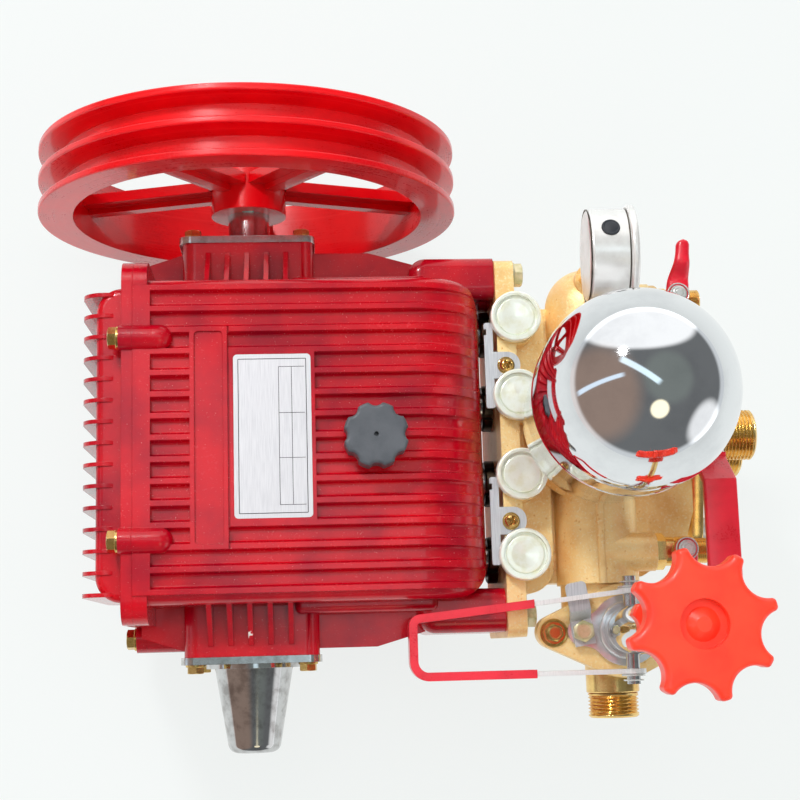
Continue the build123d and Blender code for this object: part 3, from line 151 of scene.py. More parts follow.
class Shop:
    """The node tree of one material or world, with the calls that fill it."""

    def __init__(self, name: str, world: bpy.types.World | None = None) -> None:
        """Empty the tree of a new material, or of the world that is given.

        Args:
            name: The material's name.
            world: A world to fill in place of a material.
        """
        self.material = world or bpy.data.materials.new(name)
        self.material.use_nodes = True
        self.tree = self.material.node_tree
        self.tree.nodes.clear()

    def node(self, kind: str, settings: dict | None = None, sockets: dict | None = None) -> bpy.types.Node:
        """Add one node.

        Args:
            kind: The node's type.
            settings: Its own settings.
            sockets: Values or wires for its inputs, by name, identifier or number.

        Returns:
            The new node.
        """
        made = self.tree.nodes.new(kind)
        for key, value in (settings or {}).items():
            setattr(made, key, value)
        named = {s.identifier: s for s in made.inputs} | {s.name: s for s in reversed(made.inputs)}
        for key, value in (sockets or {}).items():
            socket = made.inputs[key] if isinstance(key, int) else named[key]
            if isinstance(value, Wire):
                self.tree.links.new(value.socket, socket)
            else:
                socket.default_value = value
        return made

    def wire(self, kind: str, settings: dict | None = None, sockets: dict | None = None,
             out: int | str = 0) -> Wire:
        """Add one node and take one of its outputs.

        Args:
            kind: The node's type.
            settings: Its own settings.
            sockets: Values or wires for its inputs.
            out: The output's name or number.

        Returns:
            That output.
        """
        return Wire(self, self.node(kind, settings, sockets).outputs[out])

    def place(self) -> Wire:
        """Where a point is in the row frame at rest, in metres."""
        return self.wire("ShaderNodeTexCoord", out="Object")

    def stretched(self, scale: Point) -> Wire:
        """The place, scaled on each axis."""
        return self.wire("ShaderNodeVectorMath", {"operation": "MULTIPLY"}, {0: self.place(), 1: scale})

    def noise(self, size: float, detail: float = 3.0, rough: float = 0.55,
              stretch: Point = (1, 1, 1)) -> Wire:
        """Cloudy noise.

        Args:
            size: Its coarsest blobs, in millimetres.
            detail: How many finer layers it has.
            rough: How strong those are.
            stretch: How often it repeats along each axis.

        Returns:
            The noise, about 0.5 on average.
        """
        return self.wire("ShaderNodeTexNoise", {}, {
            "Vector": self.stretched(stretch), "Scale": 1 / (size * MM), "Detail": detail, "Roughness": rough})

    def cells(self, size: float) -> Wire:
        """The distance to the nearest of scattered points that far apart, in millimetres."""
        return self.wire("ShaderNodeTexVoronoi", {}, {"Vector": self.place(), "Scale": 1 / (size * MM)})

    def mix(self, low: Colour | Wire, high: Colour | Wire, amount: Number) -> Wire:
        """A colour between low and high."""
        return self.wire("ShaderNodeMix", {"data_type": "RGBA"},
                         {"Factor_Float": amount, "A_Color": low, "B_Color": high}, out=2)

    def parts(self, centre: Vector, axis: Axis) -> tuple[Wire, Wire]:
        """How far a point is along and away from an axis.

        Args:
            centre: A point on the axis, in the row frame.
            axis: The axis's direction.

        Returns:
            The distance along it and the distance from it, in metres.
        """
        from_centre = self.wire("ShaderNodeVectorMath", {"operation": "SUBTRACT"},
                                {0: self.place(), 1: centre})
        along = self.wire("ShaderNodeVectorMath", {"operation": "DOT_PRODUCT"},
                          {0: from_centre, 1: axis.vector()}, out="Value")
        flat = Vector((1, 1, 1)) - axis.vector()
        across = self.wire("ShaderNodeVectorMath", {"operation": "MULTIPLY"}, {0: from_centre, 1: flat})
        away = self.wire("ShaderNodeVectorMath", {"operation": "LENGTH"}, {0: across}, out="Value")
        return along, away

    def rings(self, centre: Vector, axis: Axis, pitch: float) -> Wire:
        """The fine rings that a lathe tool leaves round an axis.

        Args:
            centre: A point on the axis, in the row frame.
            axis: The axis's direction.
            pitch: How far apart they are, in millimetres.

        Returns:
            Noise that changes along the axis and away from it, not round it.
        """
        along, away = self.parts(centre, axis)
        line = self.wire("ShaderNodeCombineXYZ", {}, {"X": along, "Y": away})
        return self.wire("ShaderNodeTexNoise", {}, {"Vector": line, "Scale": 1 / (pitch * MM),
                                                    "Detail": 2.0, "Roughness": 0.7})

    def surface(self, sockets: dict, height: Wire | None = None, depth: float = 0.1,
                rounding: float = 0.0) -> bpy.types.Material:
        """Close the material with its surface.

        Args:
            sockets: Values or wires of the surface's inputs.
            height: What the bump follows, 0 to 1.
            depth: The height of that bump, in millimetres.
            rounding: How far sharp edges look rounded, in millimetres.

        Returns:
            The finished material.
        """
        base = {}
        if rounding:
            base["Normal"] = self.wire("ShaderNodeBevel", {"samples": 4}, {"Radius": rounding * MM})
        if height is not None:
            base["Normal"] = self.wire("ShaderNodeBump", {}, {"Height": height, "Distance": depth * MM, **base})
        shader = self.wire("ShaderNodeBsdfPrincipled", {}, sockets | base)
        self.node("ShaderNodeOutputMaterial", {}, {"Surface": shader})
        return self.material


# ---- Finishes


@dataclass(frozen=True)
class CastPaint:
    """Gloss paint over a sand casting, a little thicker and darker in places."""

    name: str
    colour: Colour
    deep: Colour
    roughness: float = 0.24
    grain: float = 2.4
    grain_depth: float = 0.16
    rounding: float = 0.9
    chip: Colour = tone(235, 225, 220)
    chips: tuple[tuple[Point, float], ...] = ()

    def build(self) -> bpy.types.Material:
        """The material with its mottling, its sand grain and its chips."""
        shop = Shop(self.name)
        cloud = shop.noise(38.0, 4.0)
        sand = shop.noise(self.grain, 5.0, 0.6)
        colour = shop.mix(self.deep, self.colour, cloud.above(0.46, 0.5))
        dust = shop.noise(0.9, 2.0).above(0.73, 0.06)
        colour = shop.mix(colour, self.chip, dust * 0.25)
        rough = sand * 0.18 + cloud * 0.1 + (self.roughness - 0.14) + dust * 0.3
        for centre, radius in self.chips:
            away = shop.wire("ShaderNodeVectorMath", {"operation": "DISTANCE"},
                             {0: shop.place(), 1: row(*centre)}, out="Value")
            bare = (away * 1000 + shop.noise(2.2, 4.0) * 5.0).below(radius + 2.5, 0.25)
            colour = shop.mix(colour, self.chip, bare)
            rough = rough + bare * 0.4
        height = sand * 0.75 + shop.noise(11.0, 2.0) * 0.8
        return shop.surface({"Base Color": colour, "Roughness": rough, "Coat Weight": 0.45,
                             "Coat Roughness": 0.05, "Specular IOR Level": 0.3},
                            height, self.grain_depth, self.rounding)


@dataclass(frozen=True)
class WheelPaint:
    """Bright gloss paint on turned cast iron, with the tool's rings under it."""

    name: str
    colour: Colour
    deep: Colour
    worn: Colour
    axis: Axis = Axis.Y
    turned_radius: float = 0.117
    tool_pitch: float = 1.1

    def build(self) -> bpy.types.Material:
        """The material with its rings, its cast parts and its belt wear."""
        shop = Shop(self.name)
        centre = row(0, 0, 0)
        rings = shop.rings(centre, self.axis, self.tool_pitch)
        cloud = shop.noise(45.0, 4.0)
        sand = shop.noise(2.2, 4.0)
        away = shop.parts(centre, self.axis)[1]
        turned = away.above(self.turned_radius, 0.002)
        colour = shop.mix(self.deep, self.colour, cloud.above(0.45, 0.45))
        colour = shop.mix(colour, self.worn, turned * rings.above(0.66, 0.2) * 0.5)
        rough = cloud * 0.14 + sand * 0.1 + 0.12 + turned * rings * 0.12
        height = turned * rings * 0.5 + (1 - turned) * (sand * 0.9)
        return shop.surface({"Base Color": colour, "Roughness": rough, "Coat Weight": 0.5,
                             "Coat Roughness": 0.06, "Specular IOR Level": 0.3}, height, 0.14, 0.8)


@dataclass(frozen=True)
class CastBrass:
    """Brass as it leaves the sand mould, pitted and lightly blasted."""

    name: str
    colour: Colour
    dark: Colour
    bright: Colour
    grain: float = 1.5
    pit_spacing: float = 3.4
    metallic: float = 0.4

    def build(self) -> bpy.types.Material:
        """The material with its pits, its grain and its darker clouds."""
        shop = Shop(self.name)
        cloud = shop.noise(26.0, 5.0, 0.6)
        sand = shop.noise(self.grain, 5.0, 0.65)
        pit = shop.cells(self.pit_spacing).below(0.2, 0.16) * shop.noise(9.0, 2.0).above(0.55, 0.1)
        colour = shop.mix(self.dark, self.colour, cloud.above(0.45, 0.4))
        colour = shop.mix(colour, self.bright, sand.above(0.6, 0.2) * 0.55)
        colour = shop.mix(colour, self.dark, pit * 0.8)
        rough = sand * 0.25 + cloud * 0.15 + pit * 0.25 + 0.17
        height = sand - pit * 0.9 + shop.noise(8.0, 2.0) * 0.7
        return shop.surface({"Base Color": colour, "Roughness": rough, "Metallic": self.metallic},
                            height, 0.26, 0.8)


@dataclass(frozen=True)
class Turned:
    """Metal as a lathe leaves it: fine rings round one axis."""

    name: str
    colour: Colour
    dark: Colour
    axis: Axis
    centre: Point
    roughness: float = 0.2
    pitch: float = 0.35
    rounding: float = 0.25

    def build(self) -> bpy.types.Material:
        """The material with its tool rings and handling marks."""
        shop = Shop(self.name)
        rings = shop.rings(row(*self.centre), self.axis, self.pitch)
        cloud = shop.noise(14.0, 4.0, 0.6)
        colour = shop.mix(self.dark, self.colour, cloud.above(0.4, 0.4))
        colour = shop.mix(colour, self.dark, rings.above(0.62, 0.2) * 0.3)
        rough = rings * 0.16 + cloud * 0.14 + (self.roughness - 0.13)
        return shop.surface({"Base Color": colour, "Roughness": rough, "Metallic": 1.0},
                            rings, 0.03, self.rounding)


@dataclass(frozen=True)
class Plated:
    """Smooth plated metal with faint waves, stains and wipe marks."""

    name: str
    colour: Colour
    stain: Colour
    roughness: float = 0.05
    wave: float = 40.0
    wave_depth: float = 0.02
    blotch: float = 18.0
    metallic: float = 1.0
    rounding: float = 0.3

    def build(self) -> bpy.types.Material:
        """The material with its film of stains."""
        shop = Shop(self.name)
        cloud = shop.noise(self.blotch, 5.0, 0.6)
        fine = shop.noise(1.2, 3.0)
        colour = shop.mix(self.colour, self.stain, cloud.above(0.56, 0.3) * 0.8)
        rough = cloud * 0.06 + fine * 0.03 + (self.roughness - 0.035)
        height = shop.noise(self.wave, 1.0)
        return shop.surface({"Base Color": colour, "Roughness": rough, "Metallic": self.metallic},
                            height, self.wave_depth, self.rounding)


@dataclass(frozen=True)
class Brushed:
    """Sheet metal brushed along one direction."""

    name: str
    colour: Colour
    dark: Colour
    axis: Axis
    roughness: float = 0.3
    metallic: float = 1.0

    def build(self) -> bpy.types.Material:
        """The material with its brush strokes."""
        shop = Shop(self.name)
        stretch = tuple(0.03 if n == self.axis.value else 1.0 for n in range(3))
        stroke = shop.noise(0.5, 3.0, 0.6, stretch)
        cloud = shop.noise(20.0, 3.0)
        colour = shop.mix(self.dark, self.colour, stroke.above(0.45, 0.5))
        rough = stroke * 0.2 + cloud * 0.1 + (self.roughness - 0.15)
        return shop.surface({"Base Color": colour, "Roughness": rough, "Metallic": self.metallic},
                            stroke, 0.02, 0.2)


@dataclass(frozen=True)
class Moulded:
    """Moulded plastic, vinyl or rubber with its fine skin."""

    name: str
    colour: Colour
    deep: Colour
    roughness: float = 0.35
    skin: float = 0.8
    skin_depth: float = 0.04
    coat: float = 0.0
    soft: float = 0.0
    rounding: float = 0.5

    def build(self) -> bpy.types.Material:
        """The material with its skin, flow marks and scuffs."""
        shop = Shop(self.name)
        cloud = shop.noise(16.0, 4.0)
        skin = shop.noise(self.skin, 3.0)
        scuff = shop.noise(5.0, 5.0, 0.75).above(0.66, 0.08)
        colour = shop.mix(self.deep, self.colour, cloud.above(0.42, 0.5))
        rough = skin * 0.12 + cloud * 0.12 + scuff * 0.12 + (self.roughness - 0.12)
        return shop.surface({"Base Color": colour, "Roughness": rough, "Coat Weight": self.coat,
                             "Coat Roughness": 0.12, "Subsurface Weight": self.soft,
                             "Subsurface Radius": (0.004, 0.0012, 0.0008)},
                            skin, self.skin_depth, self.rounding)


@dataclass(frozen=True)
class Glazed:
    """A clear window that dirt has touched."""

    name: str
    tint: Colour
    roughness: float = 0.03
    ior: float = 1.49
    clear: float = 1.0

    def build(self) -> bpy.types.Material:
        """The material with its faint film."""
        shop = Shop(self.name)
        film = shop.noise(12.0, 4.0)
        return shop.surface({"Base Color": self.tint, "Roughness": film * 0.08 + self.roughness,
                             "Transmission Weight": self.clear, "IOR": self.ior}, film, 0.01)


# ---- The camera, the floor and the light


@dataclass(frozen=True)
class Viewpoint:
    """The camera, at the angle and distance that the pump is seen from."""

    place: Point = (33.743, -133.379, 1007.678)
    focal: float = 1507.68
    picture: int = 800
    plumb: tuple[float, float] = (305.411, 653.862)
    roll: float = -0.01707
    sensor: float = 36.0
    nearest: float = 0.05

    def build(self) -> bpy.types.Object:
        """The camera, turned so that the plumb line through it meets that point of the picture."""
        half = self.picture / 2
        across, below = [(step - half) / self.focal for step in self.plumb]
        down = Vector((across, below, 1)).normalized()
        north = Vector((math.sin(self.roll), -math.cos(self.roll), 0))
        north = (north - north.dot(down) * down).normalized()
        up = -down
        east = north.cross(up)
        turn = Matrix([(way.x, -way.y, -way.z) for way in (east, north, up)])
        data = bpy.data.cameras.new("viewpoint")
        data.sensor_width = self.sensor
        data.lens = self.sensor * self.focal / self.picture
        data.clip_start = self.nearest
        camera = bpy.data.objects.new("viewpoint", data)
        camera.matrix_world = Matrix.Translation(row(*self.place)) @ turn.to_4x4()
        bpy.context.scene.collection.objects.link(camera)
        bpy.context.scene.camera = camera
        return camera


@dataclass(frozen=True)
class Lamp:
    """One soft box: where it hangs, what it points at, its size and strength, whether it glints."""

    name: str
    place: Point
    target: Point
    size: float
    watts: float
    glints: bool = False

    def build(self) -> bpy.types.Object:
        """The lamp, pointed at its target."""
        data = bpy.data.lights.new(self.name, "AREA")
        data.shape = "DISK"
        data.size = self.size
        data.energy = self.watts
        lamp = bpy.data.objects.new(self.name, data)
        lamp.location = self.place
        lamp.rotation_euler = (Vector(self.target) - Vector(self.place)).to_track_quat("-Z", "Y").to_euler()
        lamp.visible_glossy = self.glints
        bpy.context.scene.collection.objects.link(lamp)
        return lamp


@dataclass(frozen=True)
class Screen:
    """A soft bright patch of the room: its direction, how wide it is, its softness and its light.

    One with a direction across it is a streak, thin that way.
    """

    way: Point
    edge: float
    soft: float
    strength: float
    colour: Colour = (1.0, 1.0, 1.0, 1.0)
    across: Point | None = None
    thin: float = 0.03


@dataclass
class Studio:
    """The pale floor, the soft boxes and the room's own light."""

    floor_size: float = 8.0
    floor_gap: float = 0.0005
    floor_colour: Colour = tone(246, 250, 249)
    sky_colour: Colour = (0.93, 0.97, 1.0, 1.0)
    ceiling: float = 0.18
    horizon: tuple[float, float] = (0.02, 0.10)
    walls: float = 0.75
    seen_share: float = 0.86
    glow: float = 0.96
    lamps: list[Lamp] = field(default_factory=lambda: [
        Lamp("key", (-0.55, 0.95, 1.55), (0.05, 0.0, 0.2), 0.24, 15.0, True),
        Lamp("over", (0.1, 0.3, 2.0), (0.05, 0.0, 0.2), 1.2, 12.0),
        Lamp("left", (-1.5, -0.3, 1.5), (0.0, 0.0, 0.2), 1.0, 7.0),
        Lamp("right", (1.6, -0.5, 1.3), (0.1, 0.0, 0.2), 1.0, 7.5),
        Lamp("front", (0.1, -1.7, 1.2), (0.05, 0.0, 0.2), 1.0, 6.5),
    ])
    screens: tuple[Screen, ...] = (
        Screen((0.0, 1.0, 0.14), 0.70, 0.08, 1.0),
        Screen((-0.15, 0.25, 0.96), 0.90, 0.05, 1.3, tone(205, 228, 240), (0.515, 0.69, -0.054), 0.03),
        Screen((-0.80, 0.03, 0.50), 0.88, 0.06, 1.1, tone(190, 222, 245), (-0.074, 0.829, -0.169), 0.02),
        Screen((0.175, -0.544, 0.824), 0.984, 0.010, 1.4, tone(255, 242, 204)),
        Screen((-0.85, -0.15, 0.45), 0.66, 0.30, 0.20, tone(236, 160, 96)),
        Screen((0.35, 0.05, 0.90), 0.88, 0.10, 0.13, tone(158, 182, 160)),
        Screen((0.84, -0.50, 0.12), 0.95, 0.05, 0.9),
    )

    def seen(self, shop: Shop) -> Wire:
        """How a ray came to the floor.

        Args:
            shop: The floor's material.

        Returns:
            1 for rays from the camera, a mirror or a window, 0 for the others.
        """
        node = shop.node("ShaderNodeLightPath")
        camera, glossy, through = (Wire(shop, node.outputs[n]) for n in (
            "Is Camera Ray", "Is Glossy Ray", "Is Transmission Ray"))
        return camera.maths("MAXIMUM", camera.maths("MAXIMUM", camera, glossy), through)

    def floor(self) -> bpy.types.Object:
        """The plain floor, a shallow mesh grid under the feet."""
        form = bmesh.new()
        bmesh.ops.create_grid(form, x_segments=8, y_segments=8, size=self.floor_size / 2)
        mesh = bpy.data.meshes.new("floor")
        form.to_mesh(mesh)
        form.free()
        floor = bpy.data.objects.new("floor", mesh)
        floor.location.z = -self.floor_gap
        bpy.context.scene.collection.objects.link(floor)
        shop = Shop("floor_paper")
        matt = shop.wire("ShaderNodeBsdfDiffuse", {}, {"Color": self.floor_colour})
        glow = shop.wire("ShaderNodeEmission", {}, {"Color": self.floor_colour, "Strength": self.glow})
        paper = shop.wire("ShaderNodeMixShader", {}, {0: self.seen(shop) * self.seen_share, 1: matt, 2: glow})
        shop.node("ShaderNodeOutputMaterial", {}, {"Surface": paper})
        mesh.materials.append(shop.material)
        return floor

    def room(self) -> None:
        """The light of the room: pale walls, a darker ceiling and its soft bright screens."""
        world = bpy.data.worlds.new("room")
        bpy.context.scene.world = world
        world.use_nodes = True
        shop = Shop("room", world)
        way = shop.wire("ShaderNodeTexCoord", out="Generated")

        def towards(direction: Point) -> Wire:
            """How nearly a ray goes a given way, 1 when it does."""
            return shop.wire("ShaderNodeVectorMath", {"operation": "DOT_PRODUCT"},
                             {0: way, 1: Vector(direction).normalized()}, out="Value")
        overhead = towards((0, 0, 1)).above(*self.horizon)
        light = shop.wire("ShaderNodeBackground", {}, {
            "Color": self.sky_colour, "Strength": overhead * (self.ceiling - self.walls) + self.walls})
        for screen in self.screens:
            power = towards(screen.way).above(screen.edge, screen.soft) * screen.strength
            if screen.across:
                side = towards(screen.across)
                power = power * side.maths("ABSOLUTE", side).below(screen.thin * 2, screen.thin)
            glow = shop.wire("ShaderNodeBackground", {}, {"Color": screen.colour, "Strength": power})
            light = shop.wire("ShaderNodeAddShader", {}, {0: light, 1: glow})
        plain = shop.wire("ShaderNodeBackground", {}, {"Color": self.sky_colour, "Strength": 1.0})
        camera = shop.wire("ShaderNodeLightPath", out="Is Camera Ray")
        both = shop.wire("ShaderNodeMixShader", {}, {0: camera, 1: light, 2: plain})
        shop.node("ShaderNodeOutputWorld", {}, {"Surface": both})

    def build(self) -> None:
        """The whole studio."""
        self.floor()
        self.room()
        for lamp in self.lamps:
            lamp.build()
        bpy.context.scene.view_settings.view_transform = "Standard"


# ---- Dressing the CAD nodes


@dataclass
class Wardrobe:
    """The finish of every CAD node, and the materials that the added pieces share."""

    materials: dict[str, bpy.types.Material] = field(default_factory=dict)

    def finishes(self) -> dict[str, object]:
        """Every finish by the name that pieces ask for."""
        brass, brass_dark = tone(250, 214, 140), tone(222, 170, 96)
        steel, steel_dark = tone(205, 207, 208), tone(140, 142, 144)
        return {
            "casting": CastPaint("red_casting", tone(194, 0, 22), tone(142, 0, 28),
                                 chips=(((-2.0, -121.5, 54.0), 3.4),)),
            "pulley": WheelPaint("red_pulley", tone(224, 4, 16), tone(198, 0, 14), tone(236, 60, 56)),
            "plate": Brushed("brushed_plate", tone(216, 216, 220), tone(196, 196, 201), Axis.Y, 0.42, 0.35),
            "zinc": Plated("yellow_zinc", tone(248, 253, 242), tone(236, 236, 206), 0.2, 12.0, 0.03, 6.0, 0.45),
            "gold_zinc": Plated("gold_zinc", tone(224, 190, 120), tone(190, 150, 70), 0.2, 12.0, 0.03, 5.0),
            "green_zinc": Plated("green_zinc", tone(228, 216, 178), tone(172, 176, 120), 0.22, 12.0, 0.03, 5.0,
                                 0.6),
            "bright_zinc": Plated("bright_zinc", tone(228, 230, 228), tone(196, 198, 190), 0.24, 10.0, 0.03,
                                  5.0, 0.6),
            "clamp": Plated("clamp_plate", tone(232, 234, 236), tone(206, 208, 210), 0.16, 14.0, 0.05, 8.0,
                            0.7),
            "gauge_steel": Plated("gauge_steel", tone(236, 236, 234), tone(214, 212, 208), 0.24, 24.0, 0.012,
                                  16.0, 0.5),
            "guard": Plated("guard_chrome", tone(204, 204, 204), tone(146, 142, 140), 0.07, 14.0, 0.02, 10.0),
            "chrome": Plated("chrome", tone(232, 234, 236), tone(214, 216, 219), 0.045, 60.0, 0.008, 40.0),
            "cover": Plated("bright_cover", tone(222, 222, 222), tone(178, 176, 172), 0.14, 9.0, 0.06, 9.0),
            "brass": CastBrass("cast_brass", tone(255, 224, 158), tone(238, 192, 120), tone(255, 246, 208)),
            "shaft": Turned("bright_steel", steel, steel_dark, Axis.Y, (0, 0, 0), 0.2, 0.5),
            "plunger": Turned("plunger_steel", steel, steel_dark, Axis.X, (0, 0, 0), 0.12, 0.5),
            "gland": Turned("dark_steel", tone(92, 84, 74), tone(40, 36, 32), Axis.X, (0, 0, 0), 0.3, 0.6),
            "grey": Brushed("grey_steel", tone(206, 210, 214), tone(176, 180, 186), Axis.Y, 0.38, 0.4),
            "lever_steel": Brushed("lever_steel", tone(236, 238, 238), tone(210, 212, 212), Axis.Y, 0.34, 0.35),
            "inlet": Turned("inlet_brass", brass, brass_dark, Axis.X, (0, 2, -28)),
            "outlet": Turned("outlet_brass", brass, brass_dark, Axis.X, (0, 2, 32)),
            "bypass": Turned("bypass_brass", brass, brass_dark, Axis.Y, (236, 0, 4)),
            "small_valves": Turned("valve_brass", brass, brass_dark, Axis.X, (0, 92, 35)),
            "gauge_brass": Turned("gauge_brass", brass, brass_dark, Axis.Z, (228, 107, 0)),
            "screw": Turned("screw_brass", brass, brass_dark, Axis.Z, (238, -124, 0)),
            "dial": Moulded("dial_face", tone(240, 240, 236), tone(228, 228, 222), 0.4, 1.5, 0.01),
            "dark_plastic": Moulded("dark_plastic", tone(84, 88, 94), tone(62, 66, 72), 0.4, 0.7, 0.08),
            "pointer": Moulded("pointer_black", tone(26, 26, 28), tone(16, 16, 18), 0.35, 0.8, 0.01),
            "rubber": Moulded("dark_rubber", tone(42, 46, 52), tone(28, 30, 34), 0.6, 0.6, 0.06),
            "orange": Moulded("orange_plastic", tone(252, 66, 40), tone(242, 48, 30), 0.34, 1.2, 0.05, 0.1,
                              0.12),
            "vinyl": Moulded("red_vinyl", tone(222, 24, 48), tone(196, 12, 34), 0.3, 1.4, 0.06, 0.3, 0.05),
            "ink": Moulded("printed_black", tone(40, 38, 42), tone(26, 24, 28), 0.45, 0.8, 0.01),
            "window": Glazed("gauge_glass", (0.98, 0.99, 1.0, 1.0)),
            "sight": Glazed("sight_window", tone(236, 226, 178), 0.08, 1.49, 0.55),
        }

    def nodes(self) -> dict[str, str]:
        """The CAD nodes that wear each finish."""
        return {
            "casting": "crankcase rear_cover",
            "plate": "nameplate",
            "gold_zinc": "drain_plug",
            "sight": "sight_glass",
            "dark_plastic": "oil_filler_cap",
            "shaft": "crankshaft lever_pin",
            "pulley": "pulley",
            "cover": "bearing_cover end_cover",
            "guard": "shaft_guard",
            "brass": "cylinder_block delivery_manifold suction_manifold regulator_body",
            "zinc": "valve_caps",
            "plunger": "plungers",
            "gland": "gland_nuts",
            "grey": "lock_plates lever_stop",
            "inlet": "suction_inlet",
            "chrome": "air_chamber regulator_cap",
            "gauge_steel": "gauge_case gauge_bezel",
            "dial": "gauge_dial",
            "window": "gauge_glass",
            "pointer": "gauge_pointer",
            "rubber": "gauge_plug",
            "gauge_brass": "gauge_stem",
            "bypass": "bypass_outlet",
            "clamp": "regulator_plate",
            "orange": "lock_nut handwheel",
            "screw": "adjusting_screw",
            "lever_steel": "relief_lever main_valve_lever",
            "vinyl": "relief_grip main_valve_grip small_lever_pulley_side small_lever_regulator_side",
            "outlet": "main_valve",
            "small_valves": "small_valve_pulley_side small_valve_regulator_side",
        }

    def build(self) -> None:
        """Make every material and put each on its CAD nodes."""
        for name, finish in self.finishes().items():
            self.materials[name] = finish.build()
        for finish, names in self.nodes().items():
            for name in names.split():
                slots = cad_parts[name].data.materials
                slots.clear()
                slots.append(self.materials[finish])
                LOG.info("node %s has the finish %s", name, finish)


# ---- Mesh building

Size = Union[float, Callable[[float], float]]
Profile = list[tuple[Size, Size]]
Curve = tuple[tuple[float, float], ...]

SUNK = -0.1
WASHER_SHARE, HEAD_SHARE, DISH_SHARE = 0.11, 0.42, 0.34


def stand(place: Sequence[float], way: Point = (0, 0, 1), turn: float = 0.0) -> Matrix:
    """A frame on the drawing whose Z axis points a given way.

    Args:
        place: Its origin.
        way: Where its Z axis points.
        turn: How far it is turned round that axis, in degrees.

    Returns:
        The frame.
    """
    aim = Vector(way).to_track_quat("Z", "Y").to_matrix().to_4x4()
    return Matrix.Translation(place) @ aim @ Matrix.Rotation(math.radians(turn), 4, "Z")


def hexagon(flats: float, low: float, high: float, crown: float = 0.95) -> Profile:
    """The rings of a hexagonal head with the corners of its top turned off.

    Args:
        flats: Its width across the flats.
        low: Its underside.
        high: Its top.
        crown: The flat top's radius, as a share of half the width.

    Returns:
        The rings from below.
    """
    half = flats / 2

    def side(angle: float) -> float:
        """How far the side is from the axis."""
        return half / math.cos((angle + math.pi / 6) % (math.pi / 3) - math.pi / 6)

    def brow(angle: float) -> float:
        """Where the chamfer meets the side."""
        return high - (side(angle) - crown * half) * 0.55
    return [(side, low), (side, brow), (crown * half, high)]


def threaded(radius: float, low: float, high: float, pitch: float) -> Profile:
    """The rings of a screw thread that dies out at both ends.

    Args:
        radius: The thread's outer radius.
        low: Where it starts.
        high: Where it ends.
        pitch: How far one turn climbs.

    Returns:
        The rings from below.
    """
    rings: Profile = []
    count = round((high - low) / pitch * 8)
    for n in range(count + 1):
        z = low + (high - low) * n / count
        fade = min(1.0, (z - low) / pitch, (high - z) / pitch) * 0.6 * pitch

        def flank(angle: float, z: float = z, fade: float = fade) -> float:
            """The thread's radius at one angle."""
            groove = 1 - abs(2 * ((z / pitch - angle / math.tau) % 1) - 1)
            return radius - fade * min(1.0, max(0.0, groove * 1.3 - 0.15))
        rings.append((flank, z))
    return rings


def spout(radius: float, bore: float, start: float, end: float, pitch: float, floor: float,
          lip: Point = (1.2, 1.3, 0.6)) -> Profile:
    """The rings of a threaded outlet and of the bore in it.

    Args:
        radius: The thread's outer radius.
        bore: The bore's radius.
        start: Where the thread starts.
        end: Where the outlet ends.
        pitch: How far one turn of the thread climbs.
        floor: Where the bore ends.
        lip: How far the thread stops short, how far the end is turned down, and the bore's chamfer.

    Returns:
        The rings from the thread's start to the axis at the bore's floor.
    """
    short, down, edge = lip
    return threaded(radius, start, end - short, pitch) + [
        (radius - down, end), (bore + edge, end), (bore, end - edge), (bore, floor), (0, floor)]


def disc(radius: float, high: float, edge: float = 0.2, rim: float = 0.3) -> Profile:
    """The rings of a washer that is let a little into its seat.

    Args:
        radius: Its radius.
        high: Its top.
        edge: How far below the top its rim is rounded.
        rim: How far in from the side it is rounded.

    Returns:
        The rings from below.
    """
    return [(0, SUNK), (radius, SUNK), (radius, high - edge), (radius - rim, high), (0, high)]


